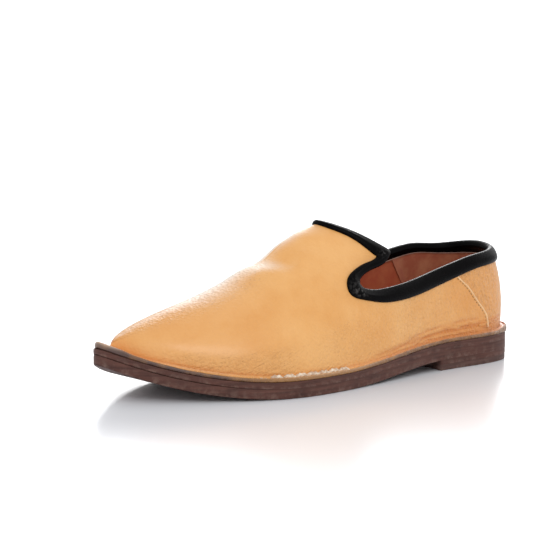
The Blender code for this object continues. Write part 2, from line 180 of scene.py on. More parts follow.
def join_halves(lateral: np.ndarray, medial: np.ndarray) -> np.ndarray:
    """One closed ring from the lateral and medial halves, which share both ends."""
    return np.concatenate([lateral, medial[-2:0:-1]])


# The form of the shoe
@dataclass(frozen=True)
class Last:
    """The form that the shoe is built on: outline, heights, sections and collar, in metres."""

    length: float = 268 * MM
    ball_width: float = 95 * MM
    heel_width: float = 62 * MM
    toe_spring: float = 19 * MM
    heel_stack: float = 6.4 * MM
    cone_height: float = 104 * MM
    back_height: float = 54 * MM
    back_lean: float = 9.6 * MM
    back_bulge: float = 3 * MM
    medial_rise: float = 0.025
    rise_stations: tuple[float, float, float, float] = (0.05, 0.19, 0.27, 0.40)
    outsole: float = 5.5 * MM
    midsole: float = 3.0 * MM
    wall: float = 1.8 * MM
    flange: float = 5 * MM
    gap: float = 0.3 * MM
    samples: int = 400
    pattern_columns: int = 48
    pattern_rows: int = 9
    # station, half width, of the heel (0) or the ball (1), centre as a share of the ball's width
    outline_rows: tuple = (
        (0.00, 0.000, 0, 0.008), (0.02, 0.305, 0, 0.008), (0.06, 0.438, 0, 0.002), (0.13, 0.500, 0, -0.004),
        (0.25, 0.502, 0, 0.014), (0.42, 0.358, 1, 0.076), (0.55, 0.431, 1, 0.067), (0.65, 0.484, 1, 0.032),
        (0.74, 0.475, 1, -0.014), (0.84, 0.379, 1, -0.072), (0.93, 0.232, 1, -0.116), (0.98, 0.108, 1, -0.139),
        (1.00, 0.000, 1, -0.145),
    )
    # station, ridge height, ridge offset, lean of the wall, rise of the wall, crown, flange
    section_rows: tuple = (
        (0.00, 1.000, 0.000, 0.00, 0.55, 0.45, 0.65), (0.10, 1.000, 0.000, 0.02, 0.55, 0.45, 0.65),
        (0.25, 0.950, 0.010, 0.05, 0.54, 0.38, 0.60), (0.40, 0.760, 0.010, 0.07, 0.52, 0.36, 0.60),
        (0.50, 0.695, -0.005, 0.06, 0.50, 0.43, 0.80), (0.60, 0.572, -0.030, 0.03, 0.48, 0.46, 1.00),
        (0.70, 0.441, -0.060, 0.02, 0.48, 0.49, 1.00), (0.80, 0.332, -0.090, 0.00, 0.50, 0.54, 1.00),
        (0.90, 0.199, -0.120, 0.00, 0.55, 0.60, 1.10), (0.96, 0.090, -0.137, 0.00, 0.60, 0.62, 1.40),
        (1.00, 0.000, -0.145, 0.00, 0.60, 0.62, 1.70),
    )
    # station and girth of the rim, station and girth of the binding's lower edge
    collar_rows: tuple = (
        (0.000, 0.314, 0.000, 0.250), (0.084, 0.293, 0.080, 0.241), (0.136, 0.284, 0.133, 0.231),
        (0.207, 0.268, 0.206, 0.209), (0.275, 0.270, 0.278, 0.204), (0.343, 0.294, 0.350, 0.225),
        (0.400, 0.326, 0.411, 0.263), (0.447, 0.362, 0.466, 0.319), (0.464, 0.403, 0.499, 0.400),
        (0.461, 0.424, 0.493, 0.457), (0.450, 0.439, 0.468, 0.489), (0.417, 0.446, 0.426, 0.494),
        (0.380, 0.445, 0.404, 0.496), (0.365, 0.467, 0.402, 0.501), (0.373, 0.515, 0.404, 0.507),
        (0.394, 0.587, 0.416, 0.556), (0.427, 0.716, 0.444, 0.688), (0.456, 0.860, 0.475, 0.848),
        (0.466, 1.000, 0.484, 1.000),
    )

    def section(self, index: int, angle: Any) -> np.ndarray:
        """One column of the sections' table along the shoe."""
        rows = np.array(self.section_rows)
        return spline(turn(rows[:, 0]), rows[:, index], angle)

    def raw_outline(self, angle: Any) -> tuple[np.ndarray, np.ndarray]:
        """Centre and half width of the sole before it is centred."""
        rows = np.array(self.outline_rows)
        size = np.where(rows[:, 2] > 0, self.ball_width, self.heel_width)
        knots = turn(rows[:, 0])
        return spline(knots, rows[:, 3] * self.ball_width, angle), spline(knots, rows[:, 1] * size, angle)

    def middle(self) -> float:
        """Middle of the sole's box across the shoe."""
        centre, half = self.raw_outline(np.linspace(0, math.pi, self.samples))
        return float(((centre + half).max() + (centre - half).min()) / 2)

    def outline(self, angle: Any, side: Any) -> np.ndarray:
        """Points of the sole's edge in plan."""
        centre, half = self.raw_outline(angle)
        return np.stack([centre + side * half - self.middle(), self.length * (0.5 - station_of(angle))], -1)

    def under(self, at: Any) -> Any:
        """Height of the outsole's underside at a station."""
        waist = self.heel_stack * (1 - rise(at, 0.19, 0.36))
        return waist + self.toe_spring * np.clip((at - 0.65) / 0.35, 0, 1) ** 2.5

    def deck(self, at: Any) -> Any:
        """Height of the face that the flange lies on."""
        return self.under(at) + self.outsole + self.midsole + 2 * self.gap

    def flange_top(self, at: Any) -> Any:
        """Height of the flange's top face."""
        slope = (self.deck(at + 1e-3) - self.deck(at - 1e-3)) / (2e-3 * self.length)
        return self.deck(at) + self.wall * np.hypot(1, slope)

    def at_y(self, y: Any) -> Any:
        """The station of a place along the shoe."""
        return 0.5 - y / self.length

    def loop(self, count: int) -> tuple[np.ndarray, np.ndarray]:
        """Angles and sides once round the sole, from the heel along the lateral side."""
        half = np.linspace(0, math.pi, count + 1)
        return np.concatenate([half, half[-2:0:-1]]), np.concatenate([np.ones(count + 1), -np.ones(count - 1)])

    def inset_loop(self, count: int, inset: Any) -> np.ndarray:
        """The sole's outline moved inward, in plan."""
        return inset_ring(self.outline(*self.loop(count)), inset)

    def inset_sides(self, count: int, inset: Any) -> tuple[np.ndarray, np.ndarray]:
        """The lateral and the medial half of the moved outline, from the back forward."""
        loop = self.inset_loop(count, inset)
        return loop[: count + 1], np.vstack([loop[:1], loop[: count - 1 : -1]])

    def feather(self, angle: Any, side: Any) -> tuple[np.ndarray, np.ndarray]:
        """The line where the wall of the upper meets its flange, and the middle between its sides, in plan."""
        known = self.loop(self.samples)[0]
        lateral, medial = self.inset_sides(self.samples, self.section(6, known) * self.flange)
        right, left = (read_line(angle, known[: self.samples + 1], line) for line in (lateral, medial))
        foot = np.where(np.asarray(side)[..., None] > 0, right, left)
        return np.moveaxis(foot, -1, 0), np.moveaxis((right + left) / 2, -1, 0)

    def feather_line(self, count: int) -> np.ndarray:
        """The feather line once round the shoe."""
        return self.feather(*self.loop(count))[0].T

    def face(self, angle: Any, side: Any, girth: Any) -> np.ndarray:
        """Points of the upper's outer face.

        Args:
            angle: angle of the station.
            side: LATERAL or MEDIAL.
            girth: 0 at the feather line and 1 on the ridge.

        Returns:
            Points in metres.
        """
        angle, side, girth = np.broadcast_arrays(np.asarray(angle, float), side, girth)
        foot, middle = self.feather(angle, side)
        away = smooth(np.minimum(angle, math.pi - angle) / 0.5)
        ridge_x = middle[0] + (self.section(2, angle) * self.ball_width - self.middle() - middle[0]) * away
        height = self.section(1, angle) * self.cone_height
        low = self.flange_top(station_of(angle))
        left = 1 - girth
        first, second, third, last = left**3, 3 * girth * left**2, 3 * girth**2 * left, girth**3
        lean = foot[0] + side * self.section(3, angle) * height
        crown = ridge_x + (foot[0] - ridge_x) * self.section(5, angle)
        x = first * foot[0] + second * lean + third * crown + last * ridge_x
        z = low + height * (second * self.section(4, angle) + third + last)
        y = foot[1] + (middle[1] - foot[1]) * smooth(girth)
        climb = (z - low) / self.back_height
        fade = np.clip(1 - station_of(angle) / 0.30, 0, 1) ** 2
        y = y + fade * (self.back_bulge * np.sin(math.pi * np.clip(climb, 0, 1)) - self.back_lean * climb**2)
        return np.stack([x, y, z], -1)

    def normal(self, angle: Any, side: Any, girth: Any) -> np.ndarray:
        """Outward normals of the upper's outer face."""
        step = 1e-3
        girth = np.clip(girth, step, 1 - step)
        angle = np.clip(angle, step, math.pi - step)
        along = self.face(angle + step, side, girth) - self.face(angle - step, side, girth)
        across = self.face(angle, side, girth + step) - self.face(angle, side, girth - step)
        return unit(np.cross(across, along) * np.asarray(side, float)[..., None])

    def skin(self, angle: Any, side: Any, girth: Any, off: Any) -> np.ndarray:
        """Points at a distance outside the upper's outer face, or inside it where that is below zero."""
        return self.face(angle, side, girth) + self.normal(angle, side, girth) * off

    def collar_table(self, side: int) -> tuple[np.ndarray, np.ndarray]:
        """Knots along the rim and their rows for one side, with two mirrored rows past each end."""
        rows = np.array(self.collar_rows)
        at, girth = rows[:, [0, 2]], rows[:, [1, 3]]
        if side < 0:
            start, full, drop, end = self.rise_stations
            girth = girth + self.medial_rise * rise(at, start, full - start) * fall(at, end, end - drop)
        angle = turn(at)
        both = np.stack([angle[:, 0], girth[:, 0], angle[:, 1], girth[:, 1]], 1)
        rows = np.vstack([both[2:0:-1] * [-1, 1, -1, 1], both, both[-2:-4:-1] * [1, -1, 1, -1] + [0, 2, 0, 2]])
        return reach_of(rows[:, :2]), rows

    def collar_stations(self, side: int, count: int) -> np.ndarray:
        """Positions along the rim, closer together where it bends."""
        knots, rows = self.collar_table(side)
        fine = np.linspace(knots[2], knots[-3], 600)
        path = spline(knots, rows[:, :2], fine)
        step = np.diff(self.face(path[:, 0], side, path[:, 1]), axis=0)
        bend = np.concatenate([[0], np.linalg.norm(np.diff(unit(step), axis=0), axis=1)])
        weight = np.linalg.norm(step, axis=1) + 5.5 * MM * np.convolve(bend, np.ones(25) / 25, "same")
        reach = np.concatenate([[0], np.cumsum(weight)])
        return np.interp(np.linspace(0, reach[-1], count + 1), reach, fine)

    def collar_at(self, side: int, along: np.ndarray, share: Any, depth: Any) -> tuple[np.ndarray, np.ndarray]:
        """Angle and girth on the collar band.

        Args:
            side: LATERAL or MEDIAL.
            along: positions along the rim.
            share: share of the band's width below the rim.
            depth: more depth below the rim, in metres, square to it.

        Returns:
            Angles and girths.
        """
        knots, rows = self.collar_table(side)
        rim, edge = spline(knots, rows[:, :2], along), spline(knots, rows[:, 2:], along)
        ahead, behind = (spline(knots, rows[:, :2], along + step) for step in (1e-3, -1e-3))
        ahead, behind, low, high = (self.face(k[:, 0], side, k[:, 1]) for k in (ahead, behind, edge, rim))
        way, width = unit(ahead - behind), low - high
        width = width - way * (width * way).sum(-1, keepdims=True)
        across = share + depth / np.linalg.norm(width, axis=-1)
        found = rim + (edge - rim) * np.asarray(across)[:, None]
        return np.clip(found[:, 0], 0, math.pi), np.clip(found[:, 1], 0, 1)

    def collar_ring(self, columns: int, share: float, depth: float, off: float) -> np.ndarray:
        """A closed ring along the collar band.

        Args:
            columns: cells along each half.
            share: share of the band's width below the rim.
            depth: more depth below the rim, in metres.
            off: distance outside the upper's face, in metres.

        Returns:
            Its points.
        """
        halves = []
        for side in BOTH:
            angle, girth = self.collar_at(side, self.collar_stations(side, columns), share, depth)
            halves.append(self.skin(angle, side, girth, off))
        return join_halves(*halves)

    def pattern(self, side: int, columns: int, rows: int, top_share: float = 0.97) -> np.ndarray:
        """A grid of angle and girth from the feather line to the collar band that bends round the notch.

        It is laid out in a flat pattern of the leather and smoothed until its lines lie apart.

        Args:
            side: LATERAL or MEDIAL.
            columns: cells wanted from the heel to the toe.
            rows: cells wanted from the feather line to the band.
            top_share: where it ends under the band.

        Returns:
            Angles and girths, columns + 1 by rows + 1 by 2.
        """
        angle = np.linspace(0, math.pi, self.samples)
        along = reach_of(self.feather(angle, np.ones_like(angle))[0].T)
        wide = np.hypot(self.section(1, angle) * self.cone_height, self.raw_outline(angle)[1])

        def flat(a: np.ndarray, g: np.ndarray) -> np.ndarray:
            """Places on the flat pattern."""
            return np.stack([np.interp(a, angle, along), np.interp(a, angle, wide) * g], -1)

        coarse = (self.pattern_columns, self.pattern_rows)
        share_i, share_j = (np.linspace(0, 1, count + 1) for count in coarse)
        grid = np.zeros((len(share_i), len(share_j), 2))
        top = np.stack(self.collar_at(side, self.collar_stations(side, coarse[0]), top_share, 0), 1)
        foot = math.pi * share_i
        ridge = math.pi + (top[-1, 0] - math.pi) * share_j
        grid[:, 0], grid[:, -1] = flat(foot, 0 * foot), flat(top[:, 0], top[:, 1])
        grid[0], grid[-1] = flat(0 * share_j, top[0, 1] * share_j), flat(ridge, np.ones_like(ridge))
        u, v = share_i[:, None, None], share_j[None, :, None]
        edges = (1 - v) * grid[:, :1] + v * grid[:, -1:] + (1 - u) * grid[:1] + u * grid[-1:]
        corners = (1 - u) * (1 - v) * grid[0, 0] + u * (1 - v) * grid[-1, 0]
        corners = corners + (1 - u) * v * grid[0, -1] + u * v * grid[-1, -1]
        grid[1:-1, 1:-1] = (edges - corners)[1:-1, 1:-1]
        for _ in range(1500):
            di = (grid[2:, 1:-1] - grid[:-2, 1:-1]) / 2
            dj = (grid[1:-1, 2:] - grid[1:-1, :-2]) / 2
            alpha, gamma = ((d**2).sum(-1, keepdims=True) for d in (dj, di))
            cross = (grid[2:, 2:] - grid[2:, :-2] - grid[:-2, 2:] + grid[:-2, :-2]) / 4
            total = alpha * (grid[2:, 1:-1] + grid[:-2, 1:-1]) + gamma * (grid[1:-1, 2:] + grid[1:-1, :-2])
            total = total - 2 * (di * dj).sum(-1, keepdims=True) * cross
            grid[1:-1, 1:-1] += 0.7 * (total / (2 * (alpha + gamma) + 1e-12) - grid[1:-1, 1:-1])
        a = np.interp(grid[..., 0], along, angle)
        g = grid[..., 1] / np.maximum(np.interp(a, angle, wide), 1e-6)
        a[-1], g[-1, 1:], g[:, 0], a[:, 0] = ridge, 1, 0, foot
        a[:, -1], g[:, -1] = top[:, 0], top[:, 1]
        grid = np.stack([np.clip(a, 0, math.pi), np.clip(g, 0, 1)], -1)
        return np.clip(refine(grid, columns, rows), 0, [math.pi, 1])


# Meshes
@dataclass
class Surface:
    """A grid of points that becomes a mesh, closed round its first way or open.

    Attributes:
        name: the piece's name.
        points: rings by columns by 3.
        closed: whether the columns close round.
        flip: whether the faces turn over.
        uv: rings by columns by 2, in metres; one column more where the columns close round.
        marks: named values for each point, which the materials read.
    """

    name: str
    points: np.ndarray
    closed: bool = True
    flip: bool = False
    uv: np.ndarray | None = None
    marks: dict[str, np.ndarray] = field(default_factory=dict)

    def build(self) -> bpy.types.Object:
        """Makes the object and links it to the scene."""
        rings, count = self.points.shape[:2]
        across = count if self.closed else count - 1
        j, i = np.meshgrid(np.arange(rings - 1), np.arange(across), indexing="ij")
        k = (i + 1) % count
        way = -1 if self.flip else 1
        quads = np.stack([j * count + i, (j + 1) * count + i, (j + 1) * count + k, j * count + k], -1)
        item = make_object(self.name, self.points.reshape(-1, 3), quads.reshape(-1, 4)[:, ::way].tolist())
        for name, values in self.marks.items():
            mark = item.data.attributes.new(name, "FLOAT", "POINT")
            mark.data.foreach_set("value", np.asarray(values, np.float32).ravel())
        if self.uv is not None:
            layer = item.data.uv_layers.new(name="pattern")
            corners = np.stack([self.uv[j, i], self.uv[j + 1, i], self.uv[j + 1, i + 1], self.uv[j, i + 1]], 2)
            layer.data.foreach_set("uv", corners[:, :, ::way].astype(np.float32).ravel())
        return item


def make_object(name: str, points: Any, faces: list) -> bpy.types.Object:
    """An object with a smooth mesh, linked to the scene.

    Args:
        name: the piece's name.
        points: its points.
        faces: its faces, as lists of points.

    Returns:
        The new object.
    """
    mesh = bpy.data.meshes.new(name)
    mesh.from_pydata([tuple(p) for p in np.asarray(points, float).tolist()], [], faces)
    mesh.update()
    mesh.shade_smooth()
    item = bpy.data.objects.new(name, mesh)
    bpy.context.scene.collection.objects.link(item)
    return item


def round_bars(name: str, bars: list[np.ndarray], capped: bool = False) -> bpy.types.Object:
    """Round bars as one piece.

    Args:
        name: the piece's name.
        bars: rings by points by 3 for each bar.
        capped: whether their ends are closed.

    Returns:
        The new object.
    """
    faces, start = [], 0
    for rings in bars:
        high, count = rings.shape[:2]
        j, i = np.meshgrid(np.arange(high - 1), np.arange(count), indexing="ij")
        here, k = start + j * count, (i + 1) % count
        faces += np.stack([here + i, here + k, here + count + k, here + count + i], -1).reshape(-1, 4).tolist()
        if capped:
            end = start + high * count
            faces += [list(range(start, start + count))[::-1], list(range(end - count, end))]
        start += high * count
    return make_object(name, np.vstack([rings.reshape(-1, 3) for rings in bars]), faces)


def thicken(item: bpy.types.Object, thickness: float) -> None:
    """Gives a sheet its thickness on the side away from its normals."""
    modifier = item.modifiers.new("Thickness", "SOLIDIFY")
    modifier.thickness = thickness
    modifier.offset = -1
    modifier.use_even_offset = modifier.use_quality_normals = True


def place(item: bpy.types.Object, slot: str, replaced: tuple[str, ...], finish: "Finish") -> None:
    """Puts a piece on the shoe.

    Args:
        item: the piece.
        slot: not used.
        replaced: the nodes that it stands for.
        finish: its material.
    """
    item.data.materials.append(finish.make())
    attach(item, "root")
    if replaced:
        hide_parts(*replaced)
    log.info("%s: %d faces", item.name, len(item.data.polygons))


# Materials
class Tree:
    """The nodes of one material, with its shader."""

    def __init__(self, name: str) -> None:
        """Starts a material of that name."""
        self.material = bpy.data.materials.new(name)
        self.material.use_nodes = True
        self.nodes = self.material.node_tree.nodes

    def add(self, kind: str, **settings: Any) -> bpy.types.Node:
        """Adds a node.

        Args:
            kind: the node's type.
            settings: its properties, and its inputs by name with _ for a space, or by number as i0, each with
                its value or the output or node that it is linked to.

        Returns:
            The node.
        """
        return self.dress(self.nodes.new("ShaderNode" + kind), settings)

    def dress(self, node: bpy.types.Node, settings: dict[str, Any]) -> bpy.types.Node:
        """Sets a node's properties, ramp stops and inputs, and returns it."""
        for key, value in settings.items():
            if key == "stops":
                for stop, (at, hexed) in zip(node.color_ramp.elements, value):
                    stop.position, stop.color = at, linear(hexed)
                continue
            if hasattr(node, key):
                setattr(node, key, value)
                continue
            socket = node.inputs[int(key[1:]) if key[1:].isdigit() else key.replace("_", " ")]
            if isinstance(value, bpy.types.Node):
                value = next(out for out in value.outputs if out.enabled)
            if isinstance(value, bpy.types.NodeSocket):
                self.material.node_tree.links.new(value, socket)
            else:
                socket.default_value = value
        return node


class Finish:
    """A finish that a piece can take."""

    name: str

    def make(self) -> bpy.types.Material:
        """Builds the material."""
        tree = Tree(self.name)
        tree.dress(tree.nodes["Principled BSDF"], self.shader(tree))
        return tree.material

    def shader(self, tree: Tree) -> dict[str, Any]:
        """What the shader's inputs get."""
        raise NotImplementedError


@dataclass(frozen=True)
class GrainedLeather(Finish):
    """Soft aniline calf, drum-dyed tan and left with its natural grain: warm and satin, with a pale sheen painted into
    its colour where it turns from view, most of all on the ridge.
    """

    name: str = "tan_calf"
    base: str = "F1B46A"
    deep: str = "E8A454"
    shade: str = "D6812F"
    raw: str = "A8763F"
    # pale colour of the cut edge: wear, and a painted highlight on the lip's top and the laps' edges
    worn: str = "DCC2AE"
    stain: str = "4C3027"
    # the pale colour of the painted sheen
    sheen: str = "FFF1E4"
    # the grain is drawn a little coarser than the hide's 1 mm, so that it shows at the picture's size
    pebble: float = 1.7 * MM
    wrinkle: float = 1.9 * MM
    bump: float = 1.2 * MM
    gather: float = 1.1 * MM
    roughness: float = 0.44

    def shader(self, tree: Tree) -> dict[str, Any]:
        """What the shader's inputs get."""
        add = tree.add
        where = add("TexCoord").outputs["Object"]
        along = add("UVMap", uv_map="pattern")
        spots, gathers, painted_crease_shade, edge, tone, wear_and_highlight, stain, painted_ridge_sheen = (
            add("Attribute", attribute_name=name).outputs["Fac"]
            for name in ("grain", "gather", "painted_crease_shade", "edge", "tone", "wear_and_highlight", "stain", "painted_ridge_sheen"))
        drift = add("TexNoise", Scale=1 / (30 * MM), Detail=5.0, Roughness=0.6, Vector=where)
        warm = add("ValToRGB", stops=((0.30, self.deep), (0.60, self.base)), Fac=drift)
        cells = add("TexVoronoi", feature="SMOOTH_F1", Scale=1 / self.pebble, Smoothness=0.5, Vector=where)
        laid = add("Mapping", Scale=(1 / self.wrinkle, 0.22 / self.wrinkle, 1.0), Vector=along)
        fine = add("TexNoise", Scale=1.0, Detail=3.0, Roughness=0.6, Distortion=0.6, Vector=laid)
        drawn = add("Mapping", Scale=(1 / (13 * MM), 1 / (1.6 * MM), 1.0), Vector=along)
        pulled = add("TexNoise", Scale=1.0, Detail=2.0, Roughness=0.5, Distortion=0.8, Vector=drawn)
        grain = add("Math", operation="MULTIPLY_ADD", i0=cells, i1=0.75, i2=fine)
        # the grain's valleys are darkened, partly the pores' own colour and partly painted shade
        valley = add("MapRange", From_Min=0.66, From_Max=0.40, Value=grain)
        pores_and_shade = add("Math", operation="MULTIPLY", i0=valley, i1=spots)
        # painted shade: the colour darkens in the troughs of the gathers and of the fine creases
        crease = add("MapRange", From_Min=0.52, From_Max=0.38, To_Max=0.8, Value=pulled)
        painted_pucker_shade = add("Math", operation="MULTIPLY", i0=crease, i1=gathers)
        tint = add("Math", operation="MULTIPLY_ADD", i0=pores_and_shade, i1=0.05, i2=tone)
        tint = add("Math", operation="ADD", i0=tint, i1=painted_pucker_shade)
        tint = add("Math", operation="MULTIPLY_ADD", use_clamp=True, i0=painted_crease_shade, i1=0.6, i2=tint)
        # painted sheen: where the surface turns from view the colour goes towards a pale sheen, most of all on the
        # ridge
        facing = add("LayerWeight", Blend=0.5).outputs["Facing"]
        painted_sheen = add("MapRange", interpolation_type="SMOOTHSTEP", From_Min=0.76, From_Max=0.97, To_Max=0.9,
                    Value=facing)
        ridge = add("MapRange", interpolation_type="SMOOTHSTEP", From_Min=0.28, From_Max=0.86, To_Max=0.85,
                    Value=facing)
        ridge = add("Math", operation="MULTIPLY", i0=ridge, i1=painted_ridge_sheen)
        painted_sheen = add("Math", operation="MAXIMUM", i0=painted_sheen, i1=ridge)
        # the cut edge: its raw colour, stained, then paler where it is worn and where a highlight is painted
        cut = linear(self.raw)
        for hexed, share in ((self.stain, stain), (self.worn, wear_and_highlight)):
            cut = add("Mix", data_type="RGBA", i0=share, i6=cut, i7=linear(hexed))
        colour = add("Mix", data_type="RGBA", i0=tint, i6=warm, i7=linear(self.shade))
        for other, share in ((cut, edge), (linear(self.sheen), painted_sheen)):
            colour = add("Mix", data_type="RGBA", i0=share, i6=colour, i7=other)
        height = add("Math", operation="MULTIPLY", i0=pulled, i1=gathers)
        bump = add("Bump", Distance=self.gather, Strength=1.0, Height=height)
        grained = add("Math", operation="MULTIPLY", i0=grain, i1=spots)
        bump = add("Bump", Distance=self.bump, Strength=1.0, Height=grained, Normal=bump)
        gloss = add("MapRange", From_Min=0.3, From_Max=0.7, To_Min=self.roughness - 0.06,
                    To_Max=self.roughness + 0.08, Value=fine)
        return {"Base Color": colour, "Normal": bump, "Roughness": gloss, "Coat Weight": 0.5, "Coat Roughness": 0.27,
                "Sheen Weight": 0.10, "Sheen Roughness": 0.30, "IOR": 1.48}


@dataclass(frozen=True)
class PlainLeather(Finish):
    """Dyed leather with fine grain, for binding, lining, insole and napped heel grip, and the thread sewn into it."""

    name: str
    base: str
    pale: str
    # pale grey of the painted highlight
    scuffs_and_glints: str = "6E6B69"
    drift: float = 12 * MM
    grain: float = 0.6 * MM
    bump: float = 0.06 * MM
    roughness: float = 0.5
    sheen: float = 0.0
    specular: float = 0.5

    def shader(self, tree: Tree) -> dict[str, Any]:
        """What the shader's inputs get."""
        add = tree.add
        where = add("TexCoord").outputs["Object"]
        slow = add("TexNoise", Scale=1 / self.drift, Detail=4.0, Roughness=0.6, Vector=where)
        tone = add("ValToRGB", stops=((0.38, self.base), (0.68, self.pale)), Fac=slow)
        # painted highlight: where marked, the colour goes towards pale grey in broken streaks
        painted_glint = add("Attribute", attribute_name="painted_glint").outputs["Fac"]
        folds = add("TexNoise", Scale=1 / (1.8 * MM), Detail=2.0, Vector=where)
        folds = add("MapRange", From_Min=0.46, From_Max=0.62, To_Max=0.6, Value=folds)
        scuffs_and_glints = add("Math", operation="MULTIPLY", i0=folds, i1=painted_glint)
        colour = add("Mix", data_type="RGBA", i0=scuffs_and_glints, i6=tone, i7=linear(self.scuffs_and_glints))
        grain = add("TexNoise", Scale=1 / self.grain, Detail=3.0, Roughness=0.7, Vector=where)
        bump = add("Bump", Distance=self.bump, Strength=0.7, Height=grain)
        gloss = add("MapRange", From_Min=0.3, From_Max=0.7, To_Min=self.roughness - 0.08,
                    To_Max=self.roughness + 0.1, Value=slow)
        return {"Base Color": colour, "Normal": bump, "Roughness": gloss, "Sheen Weight": self.sheen,
                "Specular IOR Level": self.specular}


@dataclass(frozen=True)
class StainedEdge(Finish):
    """Trimmed sole leather with a brown edge stain, or the heel's rubber: streaks along it, greyish scuffs low down."""

    name: str
    base: str = "4A2C25"
    streak: str = "643F35"
    dark: str = "351E1A"
    scuff: str = "8C7468"
    roughness: float = 0.5

    def shader(self, tree: Tree) -> dict[str, Any]:
        """What the shader's inputs get."""
        add = tree.add
        along = add("UVMap", uv_map="pattern")
        where = add("TexCoord").outputs["Object"]
        laid = add("Mapping", Scale=(1 / (26 * MM), 1 / (1.5 * MM), 1.0), Vector=along)
        streaks = add("TexNoise", Scale=1.0, Detail=4.0, Roughness=0.6, Vector=laid)
        tone = add("ValToRGB", stops=((0.36, self.base), (0.70, self.streak)), Fac=streaks)
        patch = add("TexNoise", Scale=1 / (13 * MM), Detail=3.0, Roughness=0.6, Vector=where)
        pooled = add("MapRange", From_Min=0.52, From_Max=0.72, To_Max=0.45, Value=patch)
        stained = add("Mix", data_type="RGBA", i0=pooled, i6=tone, i7=linear(self.dark))
        low = add("Attribute", attribute_name="wear").outputs["Fac"]
        rub = add("TexNoise", Scale=1 / (4 * MM), Detail=4.0, Roughness=0.7, Vector=where)
        scuffs_and_glints = add("MapRange", From_Min=0.46, From_Max=0.64, To_Max=0.55, Value=rub)
        amount = add("Math", operation="MULTIPLY", i0=low, i1=scuffs_and_glints)
        colour = add("Mix", data_type="RGBA", i0=amount, i6=stained, i7=linear(self.scuff))
        scored = add("Mapping", Scale=(1 / (1.6 * MM), 1 / (9 * MM), 1.0), Vector=along)
        scores = add("TexNoise", Scale=1.0, Detail=2.0, Vector=scored)
        height = add("Math", operation="MULTIPLY_ADD", i0=scores, i1=0.4, i2=streaks)
        bump = add("Bump", Distance=0.16 * MM, Strength=0.8, Height=height)
        gloss = add("MapRange", To_Min=self.roughness - 0.1, To_Max=self.roughness + 0.25, Value=rub)
        return {"Base Color": colour, "Normal": bump, "Roughness": gloss, "Specular IOR Level": 0.3}


@dataclass(frozen=True)
class WaxedThread(Finish):
    """Waxed linen thread, undyed and a little soiled: matte, twisted from two plies."""

    name: str = "waxed_linen_thread"
    base: str = "F2E2CC"
    soiled: str = "C2A184"

    def shader(self, tree: Tree) -> dict[str, Any]:
        """What the shader's inputs get."""
        where = tree.add("TexCoord").outputs["Object"]
        dirt = tree.add("TexNoise", Scale=1 / (2.2 * MM), Detail=3.0, Vector=where)
        tone = tree.add("ValToRGB", stops=((0.35, self.soiled), (0.6, self.base)), Fac=dirt)
        return {"Base Color": tone, "Roughness": 0.8}


@dataclass(frozen=True)
class StudioFloor(Finish):
    """Painted studio floor: white, a little glossy, so it shows a faint reflection."""

    name: str = "studio_floor"
    base: str = "F6F8FD"

    def shader(self, tree: Tree) -> dict[str, Any]:
        """What the shader's inputs get."""
        return {"Base Color": linear(self.base), "Roughness": 0.24}


# The pieces of the shoe
@dataclass(frozen=True)
class Crease:
    """A soft trough or ridge on the upper, through three places given as station and girth.

    Attributes:
        sides: LATERAL, MEDIAL or both.
        path: start, middle and end, each a station and a girth.
        width: half width in metres.
        depth: depth in metres, below zero for a ridge.
        through: whether it keeps its depth at its start, to run on over the ridge.
    """

    sides: tuple[int, ...]
    path: tuple[tuple[float, float], ...]
    width: float
    depth: float
    through: bool = False

    def relief(self, last: Last, side: int, points: np.ndarray) -> np.ndarray:
        """How far it moves each point of the upper along its normal, in metres.

        Args:
            last: the form.
            side: LATERAL or MEDIAL.
            points: points on the upper.

        Returns:
            The moves.
        """
        line = spline([0.0, 0.5, 1.0], np.array(self.path), np.linspace(0, 1, 24))
        track = last.face(turn(line[:, 0]), side, np.clip(line[:, 1], 0, 1))
        flat = points.reshape(-1, 3)
        start, way = track[:-1], np.diff(track, axis=0)
        best, along = np.full(len(flat), 1e9), np.zeros(len(flat))
        for k in range(len(way)):
            t = np.clip(((flat - start[k]) @ way[k]) / (way[k] ** 2).sum(), 0, 1)
            gap = np.linalg.norm(flat - start[k] - t[:, None] * way[k], axis=1)
            along = np.where(gap < best, (k + t) / len(way), along)
            best = np.minimum(best, gap)
        fade = fall(along, 1, 0.3) * (1 if self.through else smooth(along / 0.3))
        x = best / self.width
        shape = np.exp(-(x**2)) - 0.35 * np.exp(-((x - 2.1) ** 2))
        return (-self.depth * fade * shape).reshape(points.shape[:-1])


